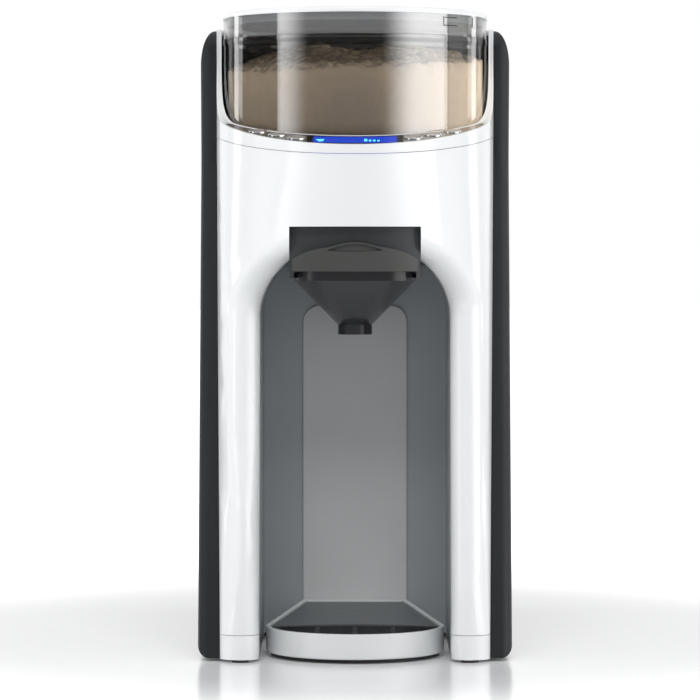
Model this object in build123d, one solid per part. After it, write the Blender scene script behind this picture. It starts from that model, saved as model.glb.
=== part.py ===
"""Countertop formula maker: a jointed assembly of casing, powder drive, water path and bay.

Millimetres. +Z up, the front faces -Y, the origin is on the counter under the middle of the machine.
"""
from build123d import *
from dataclasses import dataclass
from math import atan2, cos, hypot, pi, sin, sqrt
import os

os.makedirs("parts", exist_ok=True)


@dataclass
class Plan:
    """Plan outline of the white casing: nose arc, a corner arc each side, straight sides."""
    half: float
    nose_r: float
    corner_r: float


# ---------------------------------------------------------------- driving dimensions
# overall casing
FRONT_Y = -156.0            # nose of the white casing
BACK_Y = 155.0              # back of the lower rear housing
LOW_PLAN = Plan(71.0, 220.0, 10.0)
HIGH_PLAN = Plan(75.2, 60.0, 110.0)
CASE_WALL = 2.5
CASE_SEAM = 0.3             # gap between neighbouring casing parts
FOOT_HEIGHT = 1.5
SKIRT_TOP_Z = 14.2
SHELL_TOP_Z = 265.3
SEAM_SLOPE = 0.14           # the shell's top edge rises towards the back
SEAM_LEVEL_Y = -80.0        # and is level from here on
CASE_SPLIT_Y = -1.0         # white front casing ends, dark rear housing starts
EDGE_ROUND = 1.2

# bottle bay
BAY_HALF = 50.3
BAY_TOP_Z = 216.0
BAY_CORNER_R = 36.0
BAY_ROLL = 9.0              # rolled edge between bay and front
LIP_FOOT_Y = -135.0         # the white lip ends and the grey liner starts here at the foot
LIP_LEAN = 0.12             # and this much deeper per height
LIP_REACH = 17.0            # the solid lip reaches this far out from the bay
BAY_BACK_Y = -34.0
LINER_WALL = 2.0
BAY_PANEL_HALF = 28.5
BAY_PANEL_TOP_Z = 185.0
BAY_PANEL_THICK = 1.5

# top bezel and control panel
PANEL_NOSE_Z = 270.3        # height of the sloped panel at the nose
PANEL_SLOPE = 0.198         # rise per length towards the back
SWOOP_START_Y = -90.0
SWOOP_R = 36.0
BEZEL_TOP_Z = 335.5
BEZEL_BACK_Y = 84.0
WELL_FLOOR_Z = 268.4
WELL_FLOOR_THICK = 2.4
WELL_WALL = 2.1
WELL_FIT = 0.1              # between the well pan and the bezel around it
BEZEL_SKIN = 1.1            # wall of the bezel beside the pan, where the two are closest
PANEL_THICK = 1.5
PANEL_RIM = 1.5
PANEL_BACK_Y = -89.0
LENS_HALF = 25.2
SCREEN_HALF = 22.0
BUTTON_R = 4.9
BUTTON_PROUD = 0.7
BUTTON_TRAVEL = 1.2
BUTTON_FLANGE = 0.5
BUTTON_SPOTS = [(30.6, -136.0), (41.0, -126.0), (51.5, -115.5)]
BUTTON_NAMES = ["inner", "middle", "outer"]
BOARD_POSTS = [(57.0, -107.0), (25.5, -144.5)]
BOARD_THICK = 1.6
SWITCH_BODY = 4.4           # square tactile switch under each button
BOARD_DEPTH = 7.1           # control board below the panel surface

# side panels
SIDE_BULGE = 7.5            # outer face beyond the white casing, at the foot
SIDE_DEPTH = 22.0           # from the outer face to the innermost edge
SIDE_LEAN = 0.0045          # the outer faces lean out towards the top
SIDE_TOP_DROP = 0.3         # below the top of the bezel
SIDE_WALL = 2.5
SIDE_BULL_R = 6.5
SIDE_CROWN = (8.3, 21.0)    # elliptic rounding of the top outer edge, across and up
SIDE_LOW_R = 5.5
SIDE_CORNER_R = 10.0
SIDE_KNEE = (-61.5, 266.0)  # the leaning front edge turns upright
SIDE_KNEE_R = 70.0
SIDE_TOE_Y = -138.5         # front edge at the bottom
SIDE_BACK_Y = 150.0

# rear housing and water tank
REAR_INSET = 0.2            # rear housing behind the white casing's sides
SHELF_Z = 118.0
REAR_CORNER_R = 14.0
TANK_INSET = 0.5            # tank behind the rear housing's sides
TANK_FRONT_Y = 86.0
TANK_BACK_Y = 154.0
TANK_TOP_Z = 322.0
TANK_WALL = 2.2
TANK_CORNER_R = 14.0
TANK_LID_THICK = 3.0
TANK_HINGE_RISE = 6.0       # hinge axis above the tank's edge
TANK_LUG_X = 50.0
TANK_LUG_WIDE = 6.0
TANK_KNUCKLE_WIDE = 6.0
TANK_HINGE_Y = 90.0
VALVE_X = -38.0
VALVE_Y = 112.0
SPIGOT_R = 4.0
FLOAT_X = 40.0
FLOAT_R = 8.0
FLOAT_PIN_R = 2.0
FLOAT_TRAVEL = 15.0

# powder container and its drive, all on one upright axis
POWDER_Y = -55.0
CUP_R = 72.0
CUP_WALL = 2.4
CUP_TOP_DROP = 6.0          # the container's edge below the top of the bezel
CUP_FLOOR_THICK = 2.4
CUP_BAND_TALL = 3.1         # thicker band at the container's edge
WELL_CLEAR = 0.8
WHEEL_R = 52.0
WHEEL_THICK = 6.0
POCKET_R = 8.0
POCKET_COUNT = 6
OUTLET_RADIUS = 40.0        # pockets and outlet, from the powder axis
COUPLER_SIDE = 9.0
LID_SKIRT_HEIGHT = 11.2
LID_TOP_THICK = 2.9
LID_PLUG_FIT = 0.4
STIR_TIP_GAP = 9.6          # from the arm's tip to the container's wall
STIR_POST_X = -20.0
STIR_POST_RISE = 2.5        # the post ends above the container's edge, inside the lid
CHUTE_R = 11.5
CHUTE_WALL = 2.0
CHUTE_LOW_Z = 212.0
GEAR_MODULE = 1.0
GEAR_TEETH = 52
PINION_TEETH = 26
GEAR_LOW_Z = 252.0
GEAR_THICK = 8.0
GEAR_BACKLASH = 0.3
DRIVE_SHAFT_R = 4.0
SHAFT_CLEAR = 0.05
MOTOR_R = 13.0
MOTOR_LENGTH = 38.0
MOTOR_SHAFT_R = 1.5

# dispenser dock and funnel
DOCK_HALF = 34.0
DOCK_TOP_Z = 227.5
DOCK_LOW_Z = 201.0
DOCK_WALL = 2.1
DOCK_BACK_Y = -34.0
FASCIA_LOW_Z = 209.5
FASCIA_INSET = 4.0          # behind the white front surface
FUNNEL_HALF = 31.5
FUNNEL_FRONT_Y = -149.0
FUNNEL_BACK_Y = -46.0
FUNNEL_TOP_Z = 208.0
FUNNEL_RIM_Z = 199.6        # the straight rim ends, the taper starts
FUNNEL_WALL = 1.8
FUNNEL_THROAT_Z = 175.5
FUNNEL_TIP_Z = 170.3
FUNNEL_THROAT_R = 9.2
FUNNEL_OUTLET_Y = -82.0
FUNNEL_INNER_HALF = 27.5
FUNNEL_COVER_THICK = 1.2
COVER_HOLE = (-114.0, -52.0)    # opening of the cover, front and back
RAIL_LOW_Z = 203.4
RAIL_HIGH_Z = 205.1
RAIL_REACH = 1.9
RAIL_FRONT_Y = -138.0
RAIL_BACK_Y = -50.0
SLIDE_CLEAR = 0.3
HANDLE_HALF = 32.6
HANDLE_THICK = 3.4
HANDLE_SHOULDER = (14.5, 217.0)
HANDLE_TOP_Z = 219.7
HANDLE_END_Z = 211.0
HANDLE_LOW_Z = 204.5
THUMB_HALF = 14.5           # lens-shaped recess under the thumb arch
THUMB_END_Z = 215.4
THUMB_TOP_Z = 218.8
THUMB_LOW_Z = 214.6
THUMB_DEPTH = 1.4

# drip tray
TRAY_LOW_Z = 2.2
TRAY_TOP_Z = 15.6
TRAY_R = 47.5
TRAY_Y = -106.0             # centre of the round front
TRAY_BACK_Y = -38.0
TRAY_BACK_HALF = 28.5
TRAY_BACK_Z = 22.8
TRAY_WALL = 2.2
TRAY_FLOOR = 2.0
TRAY_DECK_DROP = 0.8        # the grey ramp lies below the tray's rim
GRILLE_TOP_Z = 14.6
GRILLE_THICK = 2.4
GRILLE_BACK_SAG = 6.0
RIB_PITCH = 5.0
RIB_SLOT = 2.2
TONGUE_HALF = 45.0
TONGUE_LOW_Z = 0.5
TONGUE_TOP_Z = 1.9

# inside the case
PLATE_THICK = 2.5
CHASSIS_Y = 12.0
CHASSIS_HALF = 55.0
CHASSIS_THICK = 2.5
CHASSIS_RIB_Z = 150.0       # the side ribs start here
DECK_Z = 238.0
DECK_FRONT_Y = -72.0
DECK_THICK = 3.0
TUBE_R = 3.0
TUBE_BORE = 2.0
STUB_R = 1.95
NOZZLE_X = 22.0
NOZZLE_Y = -62.0
NOZZLE_Z = 233.0
NOZZLE_LOW_Z = 211.0
HEATER_X = 22.0
HEATER_Y = 46.0
HEATER_R = 16.0
HEATER_LOW_Z = 104.0
HEATER_TOP_Z = 196.0
PUMP_Y = 46.0
PUMP_R = 17.0
PUMP_LOW_Z = 14.0
PUMP_TOP_Z = 60.0
PUMP_PORT_Z = 40.0
SWITCH_X = 46.0
SWITCH_Z = 40.0
SWITCH_WIDE = 13.0
SWITCH_TALL = 19.0
INLET_X = -46.0
INLET_Z = 34.0
VENT_SLOTS = 7
VENT_PITCH = 8.0
VENT_WIDE = 3.0
VENT_Z = (62.0, 98.0)
MAIN_BOARD_X = (-50.0, 0.0)
MAIN_BOARD_Z = (140.0, 220.0)
MAIN_BOARD_STAND = 3.0
SUPPLY_X = (-6.0, 56.0)
SUPPLY_Y = (80.0, 128.0)
SUPPLY_STAND = 5.0
FRONT_FOOT_R = 4.5
REAR_FOOT_R = 8.0
FEET_FRONT = (60.0, -142.0)
FEET_REAR = (58.0, 136.0)
SCREW_R = 1.5
SCREW_HEAD_R = 3.0
SCREW_HEAD = 1.8
SCREW_LENGTH = 11.2
SCREW_PROUD = 1.0


# ---------------------------------------------------------------- shape helpers
def box(x0, x1, y0, y1, z0, z1):
    """A block from its two corners."""
    return Pos((x0 + x1) / 2, (y0 + y1) / 2, (z0 + z1) / 2) * Box(x1 - x0, y1 - y0, z1 - z0)


def rod(x, y, z0, z1, r):
    """An upright round bar."""
    return Pos(x, y, (z0 + z1) / 2) * Cylinder(r, z1 - z0)


def tube(x, y, z0, z1, r, bore):
    """An upright round tube."""
    return rod(x, y, z0, z1, r) - rod(x, y, z0 - 1, z1 + 1, bore)


def rod_y(x, y0, y1, z, r):
    """A round bar along Y."""
    return Pos(x, (y0 + y1) / 2, z) * Rot(90, 0, 0) * Cylinder(r, y1 - y0)


def rod_x(x0, x1, y, z, r):
    """A round bar along X."""
    return Pos((x0 + x1) / 2, y, z) * Rot(0, 90, 0) * Cylinder(r, x1 - x0)


def both_sides(shape):
    """The shape and its mirror image across the middle plane."""
    return shape + mirror(shape, about=Plane.YZ)


def plan_face(plan, z, grow=0.0, back_y=CASE_SPLIT_Y):
    """The casing's plan outline at height z, offset outwards by grow."""
    half = plan.half + grow
    nose_r = plan.nose_r + grow
    corner_r = plan.corner_r + grow
    nose_cy = FRONT_Y + plan.nose_r
    side = 1 if nose_r > corner_r else -1
    cx = half - corner_r
    cy = nose_cy - side * sqrt((nose_r - corner_r) ** 2 - cx ** 2)
    turn = atan2(side * (cy - nose_cy), side * cx)
    meet = (nose_r * cos(turn), nose_cy + nose_r * sin(turn))
    middle = (cx + corner_r * cos(turn / 2), cy + corner_r * sin(turn / 2))
    outline = Curve() + [
        ThreePointArc((-meet[0], meet[1]), (0, nose_cy - nose_r), meet),
        ThreePointArc(meet, middle, (half, cy)),
        Line((half, cy), (half, back_y)),
        Line((half, back_y), (-half, back_y)),
        Line((-half, back_y), (-half, cy)),
        ThreePointArc((-half, cy), (-middle[0], middle[1]), (-meet[0], meet[1])),
    ]
    return Pos(0, 0, z) * make_face(outline)


def case_body(grow=0.0, back_y=CASE_SPLIT_Y, z0=None, z1=None):
    """The tapering body of the front casing, offset by grow."""
    low = plan_face(LOW_PLAN, SKIRT_TOP_Z, grow, back_y)
    high = plan_face(HIGH_PLAN, SHELL_TOP_Z, grow, back_y)
    body = loft([low, high], ruled=True)
    if z0 is not None:
        body += extrude(plan_face(LOW_PLAN, z0, grow, back_y), SKIRT_TOP_Z - z0)
    if z1 is not None:
        body += extrude(plan_face(HIGH_PLAN, SHELL_TOP_Z, grow, back_y), z1 - SHELL_TOP_Z)
    return body


def bay_block(grow, y0, y1, z0=0.0):
    """The bay as a solid block with round upper corners, grown by a wall."""
    half, top, r = BAY_HALF + grow, BAY_TOP_Z + grow, BAY_CORNER_R + grow
    face = Pos(0, (z0 + top) / 2) * Rectangle(2 * half, top - z0)
    face = fillet(face.vertices().group_by(Axis.Y)[-1], r)
    return Pos(0, y1, 0) * extrude(Plane.XZ * face, y1 - y0)


def behind_lip(gap):
    """Everything that lies deeper in the machine than the white lip of the bay."""
    outline = Polyline((LIP_FOOT_Y + gap, 0), (LIP_FOOT_Y + gap + 300 * LIP_LEAN, 300), (100, 300), (100, 0),
                       close=True)
    return Pos(-120, 0, 0) * extrude(Plane.YZ * make_face(outline), 240)


def seam_roof(gap):
    """Everything above the sloping seam between the front shell and the top bezel."""
    z0, z1 = seam_height(FRONT_Y - 20) + gap, seam_height(SEAM_LEVEL_Y) + gap
    outline = Polyline((FRONT_Y - 20, z0), (SEAM_LEVEL_Y, z1), (200, z1), (200, 400), (FRONT_Y - 20, 400),
                       close=True)
    return Pos(-120, 0, 0) * extrude(Plane.YZ * make_face(outline), 240)


def seam_height(y):
    """Height of the front shell's top edge at y."""
    return SHELL_TOP_Z + SEAM_SLOPE * (min(y, SEAM_LEVEL_Y) - FRONT_Y)


def panel_plane():
    """The sloped control surface: local x along X, local y up the slope, z its normal."""
    return Plane(origin=(0, FRONT_Y, PANEL_NOSE_Z), x_dir=(1, 0, 0), z_dir=(0, -PANEL_SLOPE, 1))


def panel_slab(low, high):
    """The layer between two depths measured from the control surface."""
    return panel_plane() * Pos(0, 20, (low + high) / 2) * Box(200, 240, high - low)


def panel_height(y):
    """Height of the control surface at y."""
    return PANEL_NOSE_Z + PANEL_SLOPE * (y - FRONT_Y)


def crescent(inset, back_y=PANEL_BACK_Y, well_gap=2.4):
    """Upright prism over the crescent between the casing edge and the container well."""
    prism = extrude(plan_face(HIGH_PLAN, WELL_FLOOR_Z - 20, -inset), 60)
    prism -= box(-100, 100, back_y, 100, WELL_FLOOR_Z - 30, WELL_FLOOR_Z + 60)
    return prism - rod(0, POWDER_Y, WELL_FLOOR_Z - 30, WELL_FLOOR_Z + 60, WELL_R + well_gap)


def on_panel(x, y, low, high, r):
    """A disc standing square on the control surface above the plan point x, y."""
    spot = panel_plane().to_local_coords(Vector(x, y, panel_height(y)))
    return panel_plane() * Pos(spot.X, spot.Y, (low + high) / 2) * Cylinder(r, high - low)


def gear_face(teeth, turn=0.0):
    """An involute spur gear outline, thinned by the backlash."""
    pitch_r = GEAR_MODULE * teeth / 2
    base_r = pitch_r * cos(pi / 9)
    root_r = pitch_r - 1.25 * GEAR_MODULE
    tip_r = pitch_r + 0.95 * GEAR_MODULE

    def involute(r):
        angle = sqrt((r / base_r) ** 2 - 1)
        return angle - atan2(angle, 1)

    half = (pi * GEAR_MODULE / 2 - GEAR_BACKLASH) / 2 / pitch_r + involute(pitch_r)
    start_r = max(base_r, root_r)
    flank = [start_r + (tip_r - start_r) * i / 3 for i in range(4)]
    side = [(r, half - involute(r)) for r in flank]
    if root_r < base_r:
        side.insert(0, (root_r, half))
    points = []
    for tooth in range(teeth):
        middle = turn + 2 * pi * tooth / teeth
        points += [(r * cos(middle - a), r * sin(middle - a)) for r, a in side]
        points += [(r * cos(middle + a), r * sin(middle + a)) for r, a in reversed(side)]
    return make_face(Polyline(*points, close=True))


def pipe(points, bend_r):
    """A round silicone tube along straight runs with even bends."""
    path = FilletPolyline(*points, radius=bend_r)
    start = Plane(origin=path @ 0, z_dir=path % 0)
    return sweep(start * (Circle(TUBE_R) - Circle(TUBE_BORE)), path=path)


# ---------------------------------------------------------------- casing
def make_front_shell():
    """White front: curved face, arched bay with a rolled edge, two legs, open top and bottom."""
    body = loft([plan_face(LOW_PLAN, SKIRT_TOP_Z + CASE_SEAM), plan_face(HIGH_PLAN, SHELL_TOP_Z)],
                ruled=True)
    body -= bay_block(0, FRONT_Y - 10, 10)
    body = fillet(bay_mouth_edges(body), BAY_ROLL)
    body += extrude(plan_face(HIGH_PLAN, SHELL_TOP_Z), 30) - seam_roof(0)
    hollow = case_body(-CASE_WALL, 10, z0=SKIRT_TOP_Z - 5, z1=SHELL_TOP_Z + 30)
    body -= hollow - (bay_block(LIP_REACH, FRONT_Y - 10, 20, z0=-10) - behind_lip(0))
    body -= bay_block(LINER_WALL + CASE_SEAM, FRONT_Y - 10, 20, z0=-10) & behind_lip(0)
    body -= rod(0, POWDER_Y, SHELL_TOP_Z, SHELL_TOP_Z + 50, WELL_R + CASE_WALL + CASE_SEAM)
    return body - dock_envelope(CASE_SEAM)


def bay_mouth_edges(body):
    """Edges where the bay breaks through the curved front."""
    centre_x, centre_z = BAY_HALF - BAY_CORNER_R, BAY_TOP_Z - BAY_CORNER_R

    def on_mouth(edge):
        for t in (0.01, 0.3, 0.5, 0.7, 0.99):
            p = edge @ t
            x, z = abs(p.X), p.Z
            if x > centre_x and z > centre_z:
                off = hypot(x - centre_x, z - centre_z) - BAY_CORNER_R
            else:
                off = max(x - BAY_HALF, z - BAY_TOP_Z)
            if p.Y > POWDER_Y or abs(off) > 0.02:
                return False
        return True

    return [edge for edge in body.edges() if on_mouth(edge)]


def make_foot_caps():
    """White foot caps under the legs, separate mouldings with a visible seam."""
    body = extrude(plan_face(LOW_PLAN, FOOT_HEIGHT), SKIRT_TOP_Z - FOOT_HEIGHT)
    body -= box(-BAY_HALF, BAY_HALF, FRONT_Y - 10, 10, -10, SKIRT_TOP_Z + 10)
    corners = [e for e in body.edges().filter_by(Axis.Z)
               if abs(abs((e @ 0.5).X) - BAY_HALF) < 0.01 and (e @ 0.5).Y < POWDER_Y]
    body = fillet(corners, BAY_ROLL)
    hollow = extrude(plan_face(LOW_PLAN, PLATE_TOP_Z, -CASE_WALL, CASE_SPLIT_Y - CASE_WALL), SKIRT_TOP_Z)
    lip = box(-BAY_HALF - BAY_ROLL, BAY_HALF + BAY_ROLL, FRONT_Y - 10, 10, -10, 50) - behind_lip(0)
    wall = BAY_HALF + CASE_WALL
    liner = BAY_HALF + LINER_WALL + CASE_SEAM
    body -= hollow - lip - box(-wall, wall, FRONT_Y - 10, 10, -10, 50)
    body -= box(-liner, liner, FRONT_Y - 10, 10, PLATE_TOP_Z, 50) & behind_lip(0)
    for x in (-FEET_FRONT[0], FEET_FRONT[0]):
        body -= rod(x, FEET_FRONT[1], -1, FOOT_HEIGHT + CASE_WALL + 20, FOOT_STEM_R)
    return body


def bezel_profile():
    """Side view of what is cut away in front of the container: panel slope, swoop, open top."""
    slope = atan2(PANEL_SLOPE, 1)
    start = (SWOOP_START_Y, panel_height(SWOOP_START_Y))
    centre = (start[0] - SWOOP_R * sin(slope), start[1] + SWOOP_R * cos(slope))
    halfway = -(pi / 2 - slope) / 2
    bend = (centre[0] + SWOOP_R * cos(halfway), centre[1] + SWOOP_R * sin(halfway))
    end = (centre[0] + SWOOP_R, centre[1])
    far = (FRONT_Y - 20, panel_height(FRONT_Y - 20))
    top = BEZEL_TOP_Z + 10
    outline = Curve() + [
        Line(far, start), ThreePointArc(start, bend, end), Line(end, (end[0], top)),
        Line((end[0], top), (far[0], top)), Line((far[0], top), far),
    ]
    return make_face(outline)


def make_top_bezel():
    """White top: sloped panel bed, thin wings beside the container and rear deck."""
    low_z = SHELL_TOP_Z + CASE_SEAM
    skirt = extrude(plan_face(HIGH_PLAN, low_z, 0, BEZEL_BACK_Y), BEZEL_TOP_Z - low_z)
    body = skirt & seam_roof(CASE_SEAM)
    body -= Pos(-120, 0, 0) * extrude(Plane.YZ * bezel_profile(), 240)
    inner = extrude(plan_face(HIGH_PLAN, low_z - 1, -CASE_WALL, BEZEL_BACK_Y - CASE_WALL),
                    BEZEL_TOP_Z - CASE_WALL - low_z + 1)
    skin = Pos(0, 0, -PANEL_BED_DEPTH) * Pos(-120, 0, 0) * extrude(Plane.YZ * bezel_profile(), 240)
    body -= inner - skin
    body -= crescent(PANEL_RIM - 0.2, PANEL_BACK_Y + 0.2, 2.2) & panel_slab(-PANEL_THICK, 40)
    for x, y in button_points():
        body -= button_room(x, y)
    screen = crescent(PANEL_RIM + 2.6, PANEL_BACK_Y, 4.0)
    body -= screen & box(-SCREEN_HALF - 1, SCREEN_HALF + 1, FRONT_Y, POWDER_Y, 240, 300)
    for x, y in board_posts():
        body += on_panel(x, y, -BOARD_DEPTH, -PANEL_BED_DEPTH + 0.5, 1.8)
    body -= well_block(WELL_FIT, low_z - 5)
    return body - rod(0, POWDER_Y, low_z - 5, BEZEL_TOP_Z + 5, WELL_R)


def well_block(grow, low_z):
    """The round pan as a solid block, flattened where it meets the casing's sides."""
    block = rod(0, POWDER_Y, low_z, BEZEL_TOP_Z - CASE_WALL, WELL_R + WELL_WALL + grow)
    room = plan_face(HIGH_PLAN, low_z, grow - WELL_FIT - BEZEL_SKIN, BEZEL_BACK_Y - CASE_WALL)
    return block & extrude(room, BEZEL_TOP_Z - CASE_WALL - low_z)


def make_container_well():
    """Round pan under the bezel that takes the container, with holes for the drive and the chute."""
    low_z = WELL_FLOOR_Z - WELL_FLOOR_THICK
    body = well_block(0, low_z)
    body -= rod(0, POWDER_Y, WELL_FLOOR_Z, BEZEL_TOP_Z, WELL_R)
    body -= Pos(-120, 0, 0) * extrude(Plane.YZ * bezel_profile(), 240)
    body -= rod(0, POWDER_Y, low_z - 1, WELL_FLOOR_Z + 1, BUSH_R)
    for x, y in button_points():
        body -= button_room(x, y)
    return body - rod(0, POWDER_Y - OUTLET_RADIUS, low_z - 1, WELL_FLOOR_Z + 1, CHUTE_R - CHUTE_WALL)


def side_solid(inset):
    """One side panel as a solid, drawn in from all its outer faces by inset."""
    face_plane = Plane(origin=(SIDE_HALF_LOW, 0, 0), x_dir=(0, 1, 0), z_dir=(1, 0, -SIDE_LEAN))
    knee_y, knee_z = SIDE_KNEE
    low_z = FOOT_HEIGHT
    corners = [
        ((SIDE_TOE_Y, low_z), 0), (SIDE_KNEE, SIDE_KNEE_R), ((knee_y, SIDE_TOP_Z), SIDE_CORNER_R),
        ((BEZEL_BACK_Y, SIDE_TOP_Z), SIDE_CORNER_R), ((BEZEL_BACK_Y, SHELF_Z), 0),
        ((SIDE_BACK_Y, SHELF_Z), SIDE_CORNER_R), ((SIDE_BACK_Y, low_z), 0),
    ]
    face = make_face(Polyline(*[point for point, _ in corners], close=True))
    for point, r in corners:
        if r:
            face = fillet(face.vertices().sort_by_distance(point)[0], r)
    if inset:
        face = offset(face, -inset)
    solid = extrude(face_plane * Pos(0, 0, -inset) * face, -SIDE_DEPTH)
    outer = solid.faces().filter_by(lambda f: f.normal_at().X > 0.99)[0]
    solid = fillet(outer.edges(), SIDE_BULL_R - inset)
    top, low = SIDE_TOP_Z - inset, low_z + inset
    across, up = SIDE_CROWN[0] - inset, SIDE_CROWN[1] - inset
    high_x = SIDE_HALF_LOW + SIDE_LEAN * SIDE_TOP_Z - inset
    crown = box(high_x - across, high_x + 5, -200, 200, top - up, top + 5)
    crown -= Pos(high_x - across, 200, top - up) * extrude(Plane.XZ * Ellipse(across, up), 400)
    low_x = SIDE_HALF_LOW - inset
    low_r = SIDE_LOW_R - inset
    heel = box(low_x - low_r, low_x + 5, -200, 200, low - 5, low + low_r)
    heel -= rod_y(low_x - low_r, -200, 200, low + low_r, low_r)
    return solid - crown - heel


def make_side_panel():
    """The right charcoal side panel: a shell that hugs the white casing and the rear housing."""
    core = case_body(CASE_SEAM, 0, z0=-5, z1=BEZEL_TOP_Z + 10)
    core += box(-REAR_HALF - CASE_SEAM, REAR_HALF + CASE_SEAM, CASE_SPLIT_Y - 1, 200, -5, 400)
    return side_solid(0) - side_solid(SIDE_WALL) - core


def make_rear_cover():
    """Charcoal rear housing: low back with the tank shelf, tall wall in front of the tank."""
    def block(inset, front_y, low_z, over):
        half = REAR_HALF - inset
        low = box(-half, half, front_y, BACK_Y - inset, low_z, SHELF_Z - inset)
        low = fillet(low.edges().filter_by(Axis.Z).group_by(Axis.Y)[-1], REAR_CORNER_R - inset)
        tall = box(-half, half, front_y, BEZEL_BACK_Y - inset, low_z, seam_height(0) + over)
        return low + tall

    body = block(0, 0, FOOT_HEIGHT, 0) - block(CASE_WALL, -5, -5, 5)
    for i in range(VENT_SLOTS):
        x = (i - (VENT_SLOTS - 1) / 2) * VENT_PITCH
        body -= box(x - VENT_WIDE / 2, x + VENT_WIDE / 2, BACK_Y - 8, BACK_Y + 8, *VENT_Z)
    body -= box(SWITCH_X - SWITCH_WIDE / 2, SWITCH_X + SWITCH_WIDE / 2, BACK_Y - 8, BACK_Y + 8,
                SWITCH_Z - SWITCH_TALL / 2, SWITCH_Z + SWITCH_TALL / 2)
    body -= box(INLET_X - 11, INLET_X + 11, BACK_Y - 8, BACK_Y + 8, INLET_Z - 7, INLET_Z + 7)
    body -= rod(VALVE_X, VALVE_Y, SHELF_Z - 10, SHELF_Z + 10, SPIGOT_R + 1.5)
    for x, z in rear_screw_points():
        body -= rod_y(x, BACK_Y - 8, BACK_Y + 8, z, SCREW_R + 0.2)
        body -= rod_y(x, BACK_Y + SCREW_PROUD - SCREW_HEAD, BACK_Y + 8, z, SCREW_HEAD_R + 0.1)
    return body


def make_base_plate():
    """Dark bottom plate with a thin tongue under the drip tray and posts for the rear screws."""
    half = REAR_HALF - CASE_WALL - 0.1
    plate = box(-half, half, 0, BACK_Y - CASE_WALL - 0.1, FOOT_HEIGHT, PLATE_TOP_Z)
    plate = fillet(plate.edges().filter_by(Axis.Z).group_by(Axis.Y)[-1], REAR_CORNER_R - CASE_WALL - 0.1)
    plate += box(-BAY_HALF + 0.3, BAY_HALF - 0.3, BAY_BACK_Y + 2.5, 5, FOOT_HEIGHT, PLATE_TOP_Z)
    tongue = box(-TONGUE_HALF, TONGUE_HALF, TRAY_Y, BAY_BACK_Y + 5, TONGUE_LOW_Z, TONGUE_TOP_Z)
    tongue += rod(0, TRAY_Y, TONGUE_LOW_Z, TONGUE_TOP_Z, TONGUE_HALF)
    plate += tongue
    for x, z in rear_screw_points():
        post = box(x - 5, x + 5, BACK_Y - CASE_WALL - 12, BACK_Y - CASE_WALL - 0.1, FOOT_HEIGHT, z + 6)
        plate += post - rod_y(x, BACK_Y - 20, BACK_Y, z, SCREW_R)
    for x in (-FEET_REAR[0], FEET_REAR[0]):
        plate -= rod(x, FEET_REAR[1], -1, 20, FOOT_STEM_R)
    return plate


def make_rubber_feet():
    """Two small front feet under the legs and two wide rear feet, each with a stem."""
    front = rod(FEET_FRONT[0], FEET_FRONT[1], 0, FOOT_HEIGHT, FRONT_FOOT_R)
    front += rod(FEET_FRONT[0], FEET_FRONT[1], 0, FOOT_HEIGHT + 6, FOOT_STEM_R)
    rear = rod(FEET_REAR[0], FEET_REAR[1], 0, FOOT_HEIGHT, REAR_FOOT_R)
    rear += rod(FEET_REAR[0], FEET_REAR[1], 0, PLATE_TOP_Z + 1, FOOT_STEM_R)
    return both_sides(front + rear)


def rear_screw_points():
    """Screws through the low back, x and z."""
    return [(-56.0, 14.0), (56.0, 14.0)]


def pan_screw():
    """One upright pan-head screw, its seat at the origin."""
    screw = rod(0, 0, 0, SCREW_HEAD, SCREW_HEAD_R) + rod(0, 0, -SCREW_LENGTH, 0, SCREW_R)
    screw -= box(-2, 2, -0.4, 0.4, SCREW_HEAD - 1, SCREW_HEAD + 1)
    return screw - box(-0.4, 0.4, -2, 2, SCREW_HEAD - 1, SCREW_HEAD + 1)


def make_pan_screws():
    """Four equal screws: two hold the rear housing to the base plate posts, two the motor to its deck."""
    seat_y = BACK_Y + SCREW_PROUD - SCREW_HEAD
    group = [Pos(x, seat_y, z) * Rot(-90, 0, 0) * pan_screw() for x, z in rear_screw_points()]
    group += [Pos(x, POWDER_Y + GEAR_DISTANCE, DECK_Z + DECK_THICK) * pan_screw()
              for x in (-MOTOR_SCREW_X, MOTOR_SCREW_X)]
    return Compound(children=group)


# ---------------------------------------------------------------- bottle bay
def dock_envelope(gap):
    """The space of the dispenser dock through the arch, with a gap all round."""
    return box(-DOCK_HALF - gap, DOCK_HALF + gap, FRONT_Y - 10, DOCK_BACK_Y, DOCK_LOW_Z - gap,
               DOCK_TOP_Z + gap)


def make_bay_liner():
    """Grey arched lining of the bottle bay with its back wall."""
    body = bay_block(LINER_WALL, FRONT_Y, BAY_BACK_Y + LINER_WALL, z0=PLATE_TOP_Z)
    body -= bay_block(0, FRONT_Y - 5, BAY_BACK_Y, z0=-20)
    return (body & behind_lip(CASE_SEAM)) - dock_envelope(CASE_SEAM)


def make_bay_back_panel():
    """Lighter panel with rounded shoulders on the back wall of the bay."""
    low_z = PLATE_TOP_Z + 1
    face = Pos(0, (low_z + BAY_PANEL_TOP_Z) / 2) * Rectangle(2 * BAY_PANEL_HALF, BAY_PANEL_TOP_Z - low_z)
    face = fillet(face.vertices().group_by(Axis.Y)[-1], 9)
    panel = Pos(0, BAY_BACK_Y, 0) * extrude(Plane.XZ * face, BAY_PANEL_THICK)
    return panel


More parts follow.
